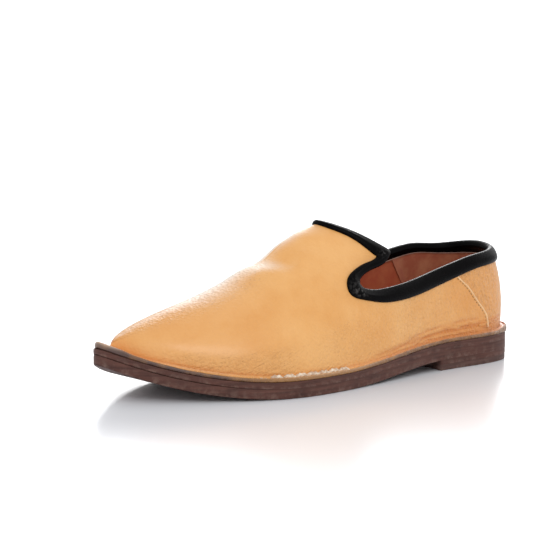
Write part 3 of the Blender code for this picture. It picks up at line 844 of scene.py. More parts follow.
@dataclass
class Upper:
    """The tan upper: flange turned out on the sole, wall and vamp.

    Attributes:
        last: the form.
        columns: cells along each half.
        rows: cells up the wall.
        fillet: radius of the turn from wall to flange.
        edge_inset: how far the flange's edge lies inside the sole's.
        lip: how far the flange's edge curls up.
        groove: how far the stitches pull the flange down.
        tip: reach of the rounding at the toe.
        tip_curl: how much more the flange curls up at the toe's tip.
        heel_curl: how much more it curls up at the heel.
    """

    last: Last
    columns: int = 290
    rows: int = 96
    fillet: float = 2.0 * MM
    edge_inset: float = 0.6 * MM
    lip: float = 0.45 * MM
    groove: float = 0.55 * MM
    tip: float = 17 * MM
    tip_curl: float = 1.3 * MM
    heel_curl: float = 2.1 * MM
    # the back seam from the flange up: girth, station
    seam: tuple = ((0.0, 0.093), (0.067, 0.103), (0.119, 0.131), (0.171, 0.156), (0.208, 0.180), (0.235, 0.190))

    def grain_mask(self, station: np.ndarray, girth: np.ndarray) -> np.ndarray:
        """How strongly the grain shows at each place of the hide."""
        rows = np.array(self.seam)
        behind = smooth(0.5 + (np.interp(girth, rows[:, 0], rows[:, 1]) - station) * 60)
        quarter = rise(station, 0.05, 0.1) * fall(station, 0.40, 0.1) * fall(girth, 0.3, 0.1)
        vamp = rise(station, 0.28, 0.08) * fall(station, 0.66, 0.1) * fall(girth, 0.34, 0.16)
        low = rise(station, 0.60, 0.12) * fall(station, 0.95, 0.1) * fall(girth, 0.30, 0.14)
        ridge = rise(girth, 0.62, 0.25) * rise(station, 0.55, 0.15)
        return np.clip(0.20 + 1.0 * behind + 0.42 * quarter + 0.30 * vamp + 0.6 * low + 0.7 * ridge, 0, 1.2)

    def marks_at(self, station: np.ndarray, girth: np.ndarray, up: np.ndarray) -> dict[str, np.ndarray]:
        """The masks of the leather at each place.

        Args:
            station: stations.
            girth: girths.
            up: distances up the wall from the flange, in metres.

        Returns:
            Grain, gathers, tone with painted shade where the wall meets the flange, the cut edge's pale wear and
            painted highlight, and the ridge's band of painted sheen.
        """
        rear, toe = fall(station, 0.47, 0.12), rise(station, 0.72, 0.16)
        height = np.clip(up, 0, None)
        gather = (rear * (0.35 + 0.65 * fall(station, 0.3, 0.2)) + 0.10) * smooth(1 - height / (11 * MM))
        tone = 0.40 * rear * smooth(1 - height / (9 * MM)) + 0.38 * fall(station, 0.40, 0.35)
        tone = tone + 0.20 * rise(station, 0.60, 0.18)
        # painted shade where the wall turns into the flange, added to the tone
        groove = rise(up, -3.4 * MM, 1.2 * MM) * fall(up, 0.4 * MM, 1.4 * MM)
        wear_and_highlight = rise(station, 0.965, 0.03) + fall(station, 0.045, 0.03)
        wear_and_highlight = wear_and_highlight + 0.12 * fall(station, 0.7, 0.1) * rise(station, 0.3, 0.1)
        # the band along the ridge where the sheen is painted, narrower and weaker at the toe
        painted_ridge_sheen = rise(girth, 0.62 + 0.20 * toe, 0.26) * rise(station, 0.46, 0.10) * (1 - 0.35 * toe)
        return {"grain": self.grain_mask(station, girth), "gather": gather, "tone": tone + 0.5 * groove,
                "wear_and_highlight": np.clip(wear_and_highlight, 0, 1), "painted_ridge_sheen": painted_ridge_sheen}

    def swell(self, points: np.ndarray) -> np.ndarray:
        """The leather's soft unevenness, in metres."""
        return 0.18 * MM * rough_noise(points, 24 * MM, 1.0)

    def half(self, side: int, creases: tuple[Crease, ...]) -> tuple[np.ndarray, np.ndarray, np.ndarray]:
        """One side of the wall.

        Args:
            side: LATERAL or MEDIAL.
            creases: the creases that it is pressed with.

        Returns:
            Angles and girths, points, and the depth of the fine creases from 0 to 1.
        """
        last = self.last
        positions = last.collar_stations(side, self.columns)
        tucked = [np.stack(last.collar_at(side, positions, share, depth), -1)[:, None]
                  for share, depth in ((0.62, 0.0), (0.0, 2.3 * MM))]
        grid = np.concatenate([last.pattern(side, self.columns, self.rows), *tucked], 1)
        angle, girth = grid[..., 0], grid[..., 1]
        points = last.face(angle, side, girth)
        relief, pressed = self.swell(points), np.zeros(angle.shape)
        for crease in creases:
            if side in crease.sides:
                moved = crease.relief(last, side, points)
                relief += moved
                pressed += moved * (crease.width < 1.5 * MM)
        free = smooth((grid.shape[1] - 4 - np.arange(grid.shape[1])) / 6)[None]
        points = points + last.normal(angle, side, girth) * (relief * free)[..., None]
        return grid, points, np.clip(-pressed / (0.5 * MM), 0, 1)

    def round_tip(self, wall: np.ndarray) -> np.ndarray:
        """Smooths the wall near the toe's tip, where the flange leaves it a sharp point."""
        tip = wall[self.columns, 0]
        near = smooth(1.15 - np.linalg.norm(wall - tip, axis=-1) / self.tip)[..., None]
        for _ in range(140):
            along = (np.roll(wall, 1, 0) + np.roll(wall, -1, 0)) / 2
            mean = along.copy()
            mean[:, 1:-1] = (along[:, 1:-1] + (wall[:, 2:] + wall[:, :-2]) / 2) / 2
            mean[:, -2:] = wall[:, -2:]
            wall = wall + (mean - wall) * near * 0.8
            wall[:, 0, 2] = self.top_at(wall[:, 0])
        return wall

    def top_at(self, line: np.ndarray) -> np.ndarray:
        """Height of the flange's top, which curls up at the toe's tip and the heel."""
        station = self.last.at_y(line[:, 1])
        curl = self.tip_curl * rise(station, 0.94, 0.05) + self.heel_curl * fall(station, 0.07, 0.06)
        return self.last.flange_top(station) + curl

    def flange_ring(self, edge: np.ndarray, start: np.ndarray, share: float) -> np.ndarray:
        """One ring across the flange's top, from its edge (0) to the wall (1)."""
        line = edge + (start - edge) * share
        curl = self.lip * math.exp(-((share / 0.3) ** 2)) - self.groove * math.exp(-(((share - 0.62) / 0.24) ** 2))
        wave = rough_noise(line * [1, 1, 0], 7 * MM, 3.0)
        line[:, 2] = self.top_at(line) + curl * (1 - share**4) + 0.22 * MM * wave * (1 - share)
        return line

    def flange_rings(self, at: np.ndarray, corner: np.ndarray, first: np.ndarray) -> tuple[list, list]:
        """The flange from its inner underside round its edge to the wall.

        Args:
            at: stations round the shoe.
            corner: where wall and flange would meet without the fillet.
            first: the wall's points just above the fillet.

        Returns:
            Its rings, and how much of the cut edge each shows.
        """
        last = self.last
        fray = fall(at, 0.05, 0.035)
        edge = last.inset_loop(self.columns, self.edge_inset - 1.5 * MM * fray)
        out = unit(edge - corner[:, :2])
        start = corner + np.column_stack([out * self.fillet, 0 * at])
        deck = last.deck(last.at_y(edge[:, 1])) + 0.05 * MM
        base = np.column_stack([edge, deck])
        worn = rough_noise(base, 5 * MM, 5.0) + 1.6 * fray * rough_noise(base, 2.4 * MM, 9.0)
        lip = self.top_at(edge) + self.lip * 0.7 + 0.2 * MM * worn
        inner = last.inset_loop(self.columns, self.edge_inset + 2.5 * MM)
        rings = [np.column_stack([inner, last.deck(last.at_y(inner[:, 1])) + 0.05 * MM])]
        for inset, up in ((0.30, 0.0), (0.0, 0.14), (-0.08, 0.42), (0.05, 0.70), (0.36, 0.90), (0.80, 1.0)):
            line = edge - out * (inset * MM - 0.12 * MM * worn[:, None])
            rings.append(np.column_stack([line, deck + (lip - deck) * up]))
        shares = np.linspace(0, 1, 11)[1:-1]
        rings += [self.flange_ring(rings[6], start, share) for share in shares]
        rings += [(1 - t) ** 2 * start + 2 * t * (1 - t) * corner + t**2 * first for t in np.linspace(0, 1, 6)[:-1]]
        return rings, [1.0, 1.0, 1.0, 1.0, 1.0, 0.9, 0.7, *np.clip(0.55 - 3.2 * shares, 0, None), *[0.0] * 5]

    def build(self, creases: tuple[Crease, ...]) -> bpy.types.Object:
        """Builds the upper, pressed with its creases.

        Args:
            creases: the creases.

        Returns:
            The upper.
        """
        halves = [self.half(side, creases) for side in BOTH]
        grid, wall, painted_crease_shade = (join_halves(*pair) for pair in zip(*halves))
        wall = self.round_tip(wall)
        angle = self.last.loop(self.columns)[0]
        low = self.top_at(wall[:, 0])
        corner = np.column_stack([wall[:, 0, :2], low])
        # the wall starts above the fillet, so its rows are laid out anew
        top = wall.shape[1] - 3
        rows = np.arange(top // 2, dtype=float)
        climb = wall[:, : top // 2, 2] - low[:, None]
        lifted = np.minimum([np.interp(self.fillet, c, rows) for c in climb], 6.0)[:, None]
        places = lifted + (top - lifted) * np.linspace(0, 1, top)[None]
        layers = np.concatenate([wall, painted_crease_shade[..., None], grid], -1)
        fine = np.concatenate([pick_rows(layers, places), layers[:, -2:]], 1).swapaxes(0, 1)
        rings, marks = self.flange_rings(station_of(angle), corner, fine[0, :, :3])
        base = len(rings)
        points = np.concatenate([rings, fine[..., :3]])
        edge_mark = np.zeros(points.shape[:2])
        edge_mark[:base] = np.array(marks)[:, None]
        flat = np.zeros((base, len(angle)))
        folds, angles, girths = (np.concatenate([flat + extra, fine[..., k]])
                                 for k, extra in ((3, 0), (4, angle), (5, 0)))
        up = reach_of(points)
        up = up - up[base]
        at = station_of(angles)
        # the fine creases' depth goes in as a mask that paints shade into their troughs
        masks = {"edge": edge_mark, "painted_crease_shade": folds, **self.marks_at(at, girths, up)}
        # near the toe's tip and the heel the flange's lip gets paler towards its top, worn and with a painted
        # highlight, and its cut edge is stained as the sole is
        masks["wear_and_highlight"][:7] *= np.array([0.0, 0.0, 0.0, 0.05, 0.20, 0.55, 0.9])[:, None]
        soiled = 0.22 + 1.05 * rise(at, 0.70, 0.16) + 0.48 * fall(at, 0.52, 0.1)
        blotch = 0.75 + 0.5 * rough_noise(points, 5 * MM, 7.0)
        masks["stain"] = np.clip(soiled * blotch * smooth(1.5 - (up - up[1]) / (4.5 * MM)), 0, 1)
        reach = reach_of(np.vstack([corner, corner[:1]])[:, :2])
        uv = np.stack([np.broadcast_to(reach, (len(points), len(reach))), np.concatenate([up, up[:, :1]], 1)], -1)
        return Surface("upper_leather", points, uv=uv, marks=masks).build()


def pick_rows(table: np.ndarray, places: np.ndarray) -> np.ndarray:
    """Values of each row of a table at fractional places along it."""
    low = np.clip(np.floor(places).astype(int), 0, table.shape[1] - 2)
    part = (places - low)[..., None]
    index = np.arange(len(table))[:, None]
    return table[index, low] * (1 - part) + table[index, low + 1] * part


@dataclass
class BackSeam:
    """The quarters' rear edges, lapped over the back panel and sewn, on both sides.

    Attributes:
        last: the form.
        upper: the upper that they lie on.
        step: height of the edge over the back panel.
        pitch: distance from stitch to stitch.
        stitch_inset: distance of the stitches from the edge.
    """

    last: Last
    upper: Upper
    step: float = 0.75 * MM
    pitch: float = 2.3 * MM
    stitch_inset: float = 1.9 * MM
    rows: int = 70
    # distance ahead of the edge in mm, height as a share of the step, rawness of the edge, which also carries a painted
    # highlight along it
    profile: tuple = (
        (-0.35, -0.3, 0.0), (-0.2, 0.5, 0.6), (0.05, 0.95, 0.8), (0.5, 1.05, 0.8), (1.0, 0.92, 0.3), (1.6, 0.66, 0.0),
        (2.2, 0.66, 0.0), (3.2, 0.66, 0.0), (4.6, 0.40, 0.0), (6.0, 0.14, 0.0), (7.4, -0.14, 0.0),
    )

    def line(self, side: int, back: float) -> tuple[np.ndarray, ...]:
        """A line up the wall, beside the seam.

        Args:
            side: LATERAL or MEDIAL.
            back: its distance ahead of the seam, in metres.

        Returns:
            Points, normals, stations and girths.
        """
        rows = np.array(self.upper.seam)
        girth = np.linspace(0.02, 0.232, self.rows)
        station = spline(rows[:, 0], rows[:, 1], girth) + back / self.last.length
        angle = turn(station)
        return self.last.face(angle, side, girth), self.last.normal(angle, side, girth), station, girth

    def lap(self, side: int) -> bpy.types.Object:
        """Builds one lap."""
        rings, stations = [], []
        for back, lift, _ in self.profile:
            points, normals, station, girth = self.line(side, back * MM)
            off = lift * self.step + self.upper.swell(points)
            rings.append(points + normals * off[:, None])
            stations.append(station)
        station = np.stack(stations)
        up = np.broadcast_to(reach_of(rings[5]) + 2.0 * MM, station.shape)
        angle = self.last.loop(300)[0][:301]
        reach = reach_of(self.last.feather_line(300))
        across = np.interp(turn(station), angle, reach[:301])
        uv = np.stack([across if side > 0 else reach[-1] - across, up], -1)
        edge = np.broadcast_to(np.array(self.profile)[:, 2:], station.shape)
        marks = {"edge": edge, **self.upper.marks_at(station + 3 * MM, girth[None] + 0 * up, up)}
        # the lap's raw edge is drawn pale all along: a painted highlight
        marks["wear_and_highlight"] = 1 + 0 * up
        return Surface(f"quarter_lap_{BOTH[side]}", np.stack(rings), closed=False, flip=side > 0, uv=uv,
                       marks=marks).build()

    def stitches(self) -> bpy.types.Object:
        """Builds the stitches of both laps."""
        bars = []
        for side in BOTH:
            points, normals, *_ = self.line(side, self.stitch_inset)
            along = reach_of(points)
            for middle in np.arange(1.6 * MM, along[-1] - 1 * MM, self.pitch):
                ends = read_line(middle + np.array([-0.45, 0.45]) * MM, along, points)
                bars.append(self.bar(*(ends + read_line(middle, along, normals) * self.step * 0.62), 0.34 * MM))
        return round_bars("back_seam_stitches", bars, capped=True)

    @staticmethod
    def bar(first: np.ndarray, last: np.ndarray, radius: float) -> np.ndarray:
        """A short round bar between two points.

        Args:
            first: where it starts.
            last: where it ends.
            radius: half its thickness.

        Returns:
            Its rings, each of 8 points.
        """
        ahead = unit(last - first)
        side = unit(np.cross(ahead, [0.3, 0.2, 0.9]))
        round_way = np.linspace(0, 2 * math.pi, 9)[:-1, None]
        ring = side * np.cos(round_way) + np.cross(ahead, side) * np.sin(round_way)
        rings = []
        for at, size in ((-1.0, 0.35), (-0.5, 0.85), (0.0, 1.0), (1.0, 1.0), (1.5, 0.85), (2.0, 0.35)):
            share = np.clip(at, 0, 1)
            rings.append(first + (last - first) * share + ahead * radius * (at - share) + ring * radius * size)
        return np.stack(rings)


@dataclass
class Binding:
    """The black strip folded over the collar's rim."""

    last: Last
    columns: int = 260
    skin: float = 0.95 * MM
    gap: float = 0.30 * MM
    plump: float = 0.80 * MM
    turn_depth: float = 2.4 * MM
    # the face that it lies on, share of the band's width, depth, height, plumpness, cells to the next row
    rows: tuple = (
        (1, 1.02, 0.00, 0.05, 0.0, 1), (1, 1.01, 0.00, 0.60, 0.0, 2), (1, 0.95, 0.00, 0.95, 0.1, 3),
        (1, 0.60, 0.00, 1.00, 0.9, 4), (1, 0.00, 1.25, 1.00, 0.5, 4), (1, 0.00, 0.50, 0.80, 0.0, 3),
        (1, 0.00, 0.12, 0.30, 0.0, 3), (1, 0.00, 0.00, -0.72, 0.0, 3), (-1, 0.00, 0.12, 0.30, 0.0, 3),
        (-1, 0.00, 0.50, 0.80, 0.0, 4), (-1, 0.00, 1.25, 1.00, 0.5, 4), (-1, 0.46, 0.00, 0.90, 0.3, 3),
        (-1, 0.68, 0.00, 0.80, 0.0, 2), (-1, 0.70, 0.00, 0.05, 0.0, 0),
    )
    # where a highlight is painted, in the notch and at the flap's corner: station, girth, reach, strength
    scuffs_and_glints: tuple = ((0.458, 0.385, 3.0 * MM, 1.0), (0.369, 0.49, 3.4 * MM, 0.7))

    def build(self) -> bpy.types.Object:
        """Builds the binding."""
        rings = []
        for face, share, turned, lift, plump, _ in self.rows:
            off = lift * (self.skin + self.gap) + plump * self.plump
            off = off if face > 0 else -self.last.wall - off
            rings.append(self.last.collar_ring(self.columns, share, turned * self.turn_depth, off))
        coarse = np.stack(rings)
        path = reach_of(coarse).mean(1)
        at = [np.linspace(a, b, row[5] + 1)[:-1] for a, b, row in zip(path[:-1], path[1:], self.rows)]
        at = np.concatenate([*at, path[-1:]])
        full = np.interp(at, path, [row[4] for row in self.rows])
        # the painted highlight is strongest on the strip's plump middle
        marks = {"painted_glint": np.outer(full, join_halves(*(self.painted_glint(side) for side in BOTH)))}
        return Surface("collar_binding_leather", spline(path, coarse, at), marks=marks).build()

    def painted_glint(self, side: int) -> np.ndarray:
        """How strongly a highlight is painted on the strip along the rim."""
        path = spline(*self.last.collar_table(side), self.last.collar_stations(side, self.columns))
        points = self.last.face(path[:, 0], side, path[:, 1])
        found = np.zeros(len(points))
        for station, girth, reach, most in self.scuffs_and_glints:
            middle = self.last.face(turn(np.array([station])), side, girth)
            found += most * np.exp(-((np.linalg.norm(points - middle, axis=1) / reach) ** 2))
        return np.clip(found, 0, 1)

    def inner_seam(self) -> bpy.types.Object:
        """The fine line of thread along the binding's inner edge."""
        thread, wall = 0.30 * MM, self.last.wall + 0.95 * MM
        rings = [self.last.collar_ring(self.columns, 0.72, thread * math.cos(a), -wall - thread * math.sin(a))
                 for a in np.linspace(0, 2 * math.pi, 7)[:-1]]
        return Surface("binding_inner_seam", np.stack(rings + rings[:1])).build()


@dataclass
class Lining:
    """The red-brown leather inside the upper, with the napped heel grip round its back.

    Attributes:
        last: the form.
        off: distance of the lining inside the upper's face.
        front: station where it ends.
        grip_off: distance of the heel grip inside the upper's face.
        seam: stations of the grip's slanted seam, low and high.
    """

    last: Last
    off: float = 1.85 * MM
    front: float = 0.90
    grip_off: float = 2.3 * MM
    seam: tuple[float, float] = (0.125, 0.205)

    def build(self) -> bpy.types.Object:
        """Builds the lining."""
        halves = []
        for side in BOTH:
            grid = np.clip(self.last.pattern(side, 120, 26, 0.62), 0, [turn(self.front), 1])
            halves.append(self.last.skin(grid[..., 0], side, grid[..., 1], -self.off))
        return Surface("lining_leather", join_halves(*halves).swapaxes(0, 1), flip=True).build()

    def sheet(self, side: int, start: float, off: float) -> np.ndarray:
        """One side of the grip.

        Args:
            side: LATERAL or MEDIAL.
            start: where it starts, as a share of the way from the heel to its seam.
            off: distance inside the upper's face, in metres.

        Returns:
            Its points, columns by rows by 3.
        """
        knots, rows = self.last.collar_table(side)
        up = np.linspace(0, 1, 25)[None]
        angle = turn(self.seam[0] + (self.seam[1] - self.seam[0]) * up) * np.linspace(start, 1, 71)[:, None]
        along = np.interp(angle[:, -1], rows[2:-2, 0][:8], knots[2:-2][:8])
        top = self.last.collar_at(side, along, 0.64, 0)[1][:, None]
        return self.last.skin(angle, side, 0.012 + (top - 0.012) * up, -off)

    def grip(self) -> bpy.types.Object:
        """Builds the heel grip."""
        lateral, medial = (self.sheet(side, 0.0, self.grip_off) for side in BOTH)
        points = np.concatenate([lateral[::-1], medial[1:]]).swapaxes(0, 1)
        item = Surface("heel_grip_suede", points, closed=False).build()
        thicken(item, -0.20 * MM)
        return item

    def grip_edge(self, side: int) -> bpy.types.Object:
        """Builds one of the grip's skived front edges, paler than the rest."""
        points = self.sheet(side, 0.950, self.grip_off + 0.26 * MM).swapaxes(0, 1)
        item = Surface(f"grip_edge_{BOTH[side]}", points, closed=False, flip=side > 0).build()
        thicken(item, 0.12 * MM)
        return item


@dataclass
class FlangeStitches:
    """The coarse stitches that hold the flange down to the midsole and stand out at the ball.

    Attributes:
        last: the form.
        pitch: distance from stitch to stitch.
        length: length of a stitch.
        radius: half its thickness.
        place: where it lies between the flange's edge (0) and the wall (1).
        showing: stations between which the thread stands out.
        sunk: how much deeper it lies elsewhere.
    """

    last: Last
    pitch: float = 7.5 * MM
    length: float = 6.6 * MM
    radius: float = 1.3 * MM
    place: float = 0.60
    showing: tuple[float, float] = (0.53, 0.755)
    sunk: float = 1.95 * MM

    def build(self) -> bpy.types.Object:
        """Builds all stitches as one piece."""
        foot, edge = self.last.feather_line(400), self.last.inset_loop(400, 0.6 * MM)
        line = edge + (foot - edge) * self.place
        line = np.column_stack([line, self.last.flange_top(self.last.at_y(line[:, 1]))])
        closed = np.vstack([line, line[:1]])
        reach = reach_of(closed)
        number = int(reach[-1] / self.pitch)
        share = np.linspace(-0.5, 0.5, 19)[:, None]
        round_way = np.linspace(0, 2 * math.pi, 13)[:-1]
        up = np.array([0.0, 0.0, 1.0])
        bars = []
        for k in range(number):
            at = reach[-1] * (k + 0.5) / number + share[:, 0] * self.length
            track = read_line(np.mod(at, reach[-1]), reach, closed)
            station = self.last.at_y(track[9, 1])
            shown = float(rise(station, self.showing[0], 0.02) * fall(station, self.showing[1], 0.05))
            if shown < 0.05:
                continue
            across = unit(np.cross(unit(np.gradient(track, axis=0)), up))
            jitter = 0.25 * math.sin(k * 2.4) + 0.2 * math.sin(k * 5.1)
            lift = 0.80 * MM - self.sunk * (1 - shown) + jitter * 0.15 * MM
            track = track + up * (lift - 1.3 * MM * (2 * np.abs(share)) ** 5)
            track = track + across * (share * (1.3 + 0.5 * jitter) * MM)
            size = self.radius * (1 - 0.3 * (2 * np.abs(share)) ** 4) * (1 + 0.08 * jitter)
            size = (size * (1 + 0.17 * np.cos(2 * round_way - share * 17)))[..., None]
            wide = across[:, None] * np.cos(round_way)[:, None] + 0.9 * up * np.sin(round_way)[:, None]
            bars.append(track[:, None] + wide * size)
        return round_bars("flange_stitches", bars)


class Layer(Enum):
    """The flat pieces under the upper."""

    OUTSOLE = "outsole"
    MIDSOLE = "midsole"
    INSOLE = "insole"
    HEEL_LIFT = "heel_lift"
    HEEL_TOP_PIECE = "heel_top_piece"


@dataclass
class Plate:
    """A flat piece cut to the sole's outline, with rounded rims.

    Attributes:
        last: the form.
        layer: which piece it is.
        inset: how far it lies inside the sole's outline, in metres.
        low: height of its underside by station.
        high: height of its top by station.
        rounded: radius of its lower and upper rims, each a size or a size by station.
        breast: station where it ends, or 1 for the whole sole.
        hollow: how far a heel's breast is hollowed.
        stations: cells along it.
        across: cells across it.
        shrink: width of its inner points as a share of the plan's, to keep them inside the rounded rims.
    """

    last: Last
    layer: Layer
    inset: Any
    low: Callable[[Any], Any]
    high: Callable[[Any], Any]
    rounded: tuple
    breast: float = 1.0
    hollow: float = 0.0
    stations: int = 150
    across: int = 8
    shrink: float = 0.98

    def build(self) -> bpy.types.Object:
        """Builds the plate."""
        known = np.linspace(0, math.pi, 301)
        angle = np.linspace(0, turn(self.breast), self.stations + 1)
        lateral, medial = (read_line(angle, known, line) for line in self.last.inset_sides(300, self.inset))
        part = np.linspace(0, 1, self.across + 1)[:, None]
        rows = lateral[:, None] + (medial - lateral)[:, None] * part
        bow = rise(np.linspace(0, 1, len(rows)), 0.5, 0.5)
        rows[..., 1] += 4 * self.hollow * bow[:, None] * (part * (1 - part))[:, 0]
        ring = join_halves(lateral, medial)
        if self.breast < 1:
            ring = np.vstack([lateral, rows[-1, 1:-1], medial[:0:-1]])
        base = self.last.at_y(ring[:, 1])
        lower = [(1 - np.sin(a), 1 - np.cos(a), 0) for a in np.linspace(0, math.pi / 2, 4)]
        rings, wear = [], []
        for inset, lift, top in lower + [(inset, lift, 1) for inset, lift, _ in lower[::-1]]:
            size = self.rounded[top](base) if callable(self.rounded[top]) else self.rounded[top] + 0 * base
            plan = inset_ring(ring, inset * size)
            at = self.last.at_y(plan[:, 1])
            height = self.high(at) - lift * size if top else self.low(at) + lift * size
            rings.append(np.column_stack([plan, height]))
            wear.append(0.0 if top else 1.0 - 0.25 * lift)
        points = np.stack(rings)
        reach = reach_of(np.vstack([ring, ring[:1]]))
        up = np.concatenate([points[..., 2], points[:, :1, 2]], 1)
        uv = np.stack([np.broadcast_to(reach, up.shape), up], -1)
        marks = {"wear": np.outer(wear, np.ones(len(ring)))}
        item = Surface(self.layer.value + "_layer", points, uv=uv, marks=marks).build()
        self.fill(item, points.shape, rows)
        return item

    def fill(self, item: bpy.types.Object, shape: tuple[int, ...], rows: np.ndarray) -> None:
        """Closes the underside and the top in rows across the plate.

        Args:
            item: the object with the rim's rings.
            shape: rings by columns of the rim.
            rows: the plan in rows across.
        """
        work = bmesh.new()
        work.from_mesh(item.data)
        rim = list(work.verts)
        uv = work.loops.layers.uv["pattern"]
        count, end = shape[1], len(rows) - 1
        for ring, height in ((0, self.low), (shape[0] - 1, self.high)):
            base = ring * count
            made = []
            for i, row in enumerate(rows):
                first, other = rim[base + i], rim[base + (count - i) % count]
                if first == other:
                    made.append([first])
                    continue
                inner = rim[base + end + 1 : base + end + self.across]
                if i < end:
                    middle = (row[0, 0] + row[-1, 0]) / 2
                    inner = [work.verts.new((middle + (x - middle) * self.shrink, y, float(height(self.last.at_y(y)))))
                             for x, y in row[1:-1]]
                made.append([first, *inner, other])
            for this, ahead in zip(made, made[1:]):
                for k in range(self.across):
                    quad = [line[min(at, len(line) - 1)]
                            for line, at in ((this, k), (this, k + 1), (ahead, k + 1), (ahead, k))]
                    quad = list(dict.fromkeys(quad))
                    if len(quad) < 3:
                        continue
                    face = work.faces.new(quad if ring else quad[::-1])
                    face.smooth = True
                    for corner in face.loops:
                        corner[uv].uv = (corner.vert.co.y, corner.vert.co.x)
        bmesh.ops.recalc_face_normals(work, faces=work.faces)
        work.to_mesh(item.data)
        work.free()


@dataclass
class Bottom:
    """The sole's layers, the insole and the low heel."""

    last: Last
    insole: float = 2.5 * MM
    top_piece: float = 3.4 * MM
    breast: float = 0.245
    hollow: float = 3 * MM

    def plates(self) -> list[tuple[Plate, Finish]]:
        """Each layer with its finish."""
        last = self.last
        inner = last.section(6, last.loop(300)[0]) * last.flange + last.wall + 2 * last.gap
        heel = (self.breast, self.hollow, 60)

        def groove(at: Any) -> Any:
            return last.gap * (0.05 + 0.70 * rise(at, 0.66, 0.2))

        def rim(at: Any) -> Any:
            return (0.10 + 0.35 * rise(at, 0.66, 0.2)) * MM

        def tread(at: Any) -> Any:
            return (0.1 + 0.7 * rise(at, 0.25, 0.05)) * MM

        edge = StainedEdge("sole_leather_edge")
        rubber = StainedEdge("heel_rubber", "48302A", "664840", "38241F")
        return [
            (Plate(last, Layer.OUTSOLE, 0.0, last.under, lambda at: last.under(at) + last.outsole, (tread, rim)), edge),
            (Plate(last, Layer.MIDSOLE, 0.0, lambda at: last.under(at) + last.outsole + groove(at),
                   lambda at: last.deck(at) - 0.02 * MM, (rim, 0.75 * MM)), edge),
            (Plate(last, Layer.INSOLE, inner, last.deck, lambda at: last.deck(at) + self.insole, (0.3 * MM, 0.3 * MM)),
             PlainLeather("insole_leather", "7A3A26", "94513A", roughness=0.55)),
            (Plate(last, Layer.HEEL_LIFT, 0.12 * MM, lambda at: self.top_piece + 0.02 * MM,
                   lambda at: last.under(at) - 0.01 * MM, (0.1 * MM, 0.1 * MM), *heel), edge),
            (Plate(last, Layer.HEEL_TOP_PIECE, 0.22 * MM, lambda at: 0.0, lambda at: self.top_piece,
                   (0.45 * MM, 0.1 * MM), *heel), rubber),
        ]

    def build(self) -> None:
        """Builds every layer."""
        for plate, finish in self.plates():
            place(plate.build(), plate.layer.value, (plate.layer.value,), finish)


# The creases of the upper
CREASES: tuple[Crease, ...] = (
    # along the flange at the waist and the heel
    Crease((LATERAL,), ((0.07, 0.024), (0.13, 0.030), (0.20, 0.026)), 1.0 * MM, 0.45 * MM),
    Crease((LATERAL,), ((0.11, 0.050), (0.16, 0.054), (0.22, 0.044)), 1.1 * MM, 0.28 * MM),
    Crease((LATERAL,), ((0.17, 0.020), (0.25, 0.026), (0.33, 0.020)), 1.0 * MM, 0.45 * MM),
    Crease((LATERAL,), ((0.22, 0.046), (0.29, 0.044), (0.36, 0.032)), 1.1 * MM, 0.30 * MM),
    Crease((LATERAL,), ((0.30, 0.022), (0.38, 0.028), (0.47, 0.022)), 1.0 * MM, 0.35 * MM),
    Crease((MEDIAL,), ((0.08, 0.026), (0.16, 0.032), (0.24, 0.026)), 1.0 * MM, 0.45 * MM),
    Crease((MEDIAL,), ((0.20, 0.046), (0.30, 0.044), (0.40, 0.030)), 1.1 * MM, 0.30 * MM),
    # soft upright dents of the quarters
    Crease((LATERAL,), ((0.165, 0.075), (0.172, 0.120), (0.190, 0.170)), 1.8 * MM, 0.14 * MM),
    Crease((LATERAL,), ((0.200, 0.080), (0.205, 0.125), (0.215, 0.175)), 1.8 * MM, 0.14 * MM),
    Crease((LATERAL,), ((0.235, 0.070), (0.238, 0.120), (0.245, 0.170)), 1.8 * MM, 0.12 * MM),
    Crease((LATERAL,), ((0.275, 0.065), (0.272, 0.115), (0.275, 0.165)), 1.8 * MM, 0.12 * MM),
    Crease((MEDIAL,), ((0.200, 0.080), (0.205, 0.130), (0.215, 0.190)), 1.8 * MM, 0.14 * MM),
    Crease((MEDIAL,), ((0.255, 0.070), (0.258, 0.130), (0.265, 0.190)), 1.8 * MM, 0.12 * MM),
    # the ridge: swelling over the toes, swelling before the collar, the walking fold across it
    Crease((LATERAL, MEDIAL), ((0.660, 0.99), (0.780, 0.99), (0.900, 0.99)), 12 * MM, -0.35 * MM),
    Crease((LATERAL, MEDIAL), ((0.440, 0.99), (0.490, 0.99), (0.560, 0.99)), 11 * MM, -0.7 * MM),
    Crease((LATERAL,), ((0.615, 1.00), (0.596, 0.84), (0.570, 0.70)), 7.5 * MM, 1.3 * MM, True),
    Crease((MEDIAL,), ((0.615, 1.00), (0.606, 0.80), (0.590, 0.62)), 7.5 * MM, 1.3 * MM, True),
    Crease((LATERAL,), ((0.655, 0.94), (0.630, 0.80), (0.590, 0.64)), 5.0 * MM, -0.45 * MM),
    Crease((LATERAL,), ((0.580, 0.88), (0.555, 0.74), (0.520, 0.60)), 4.0 * MM, -0.30 * MM),
)


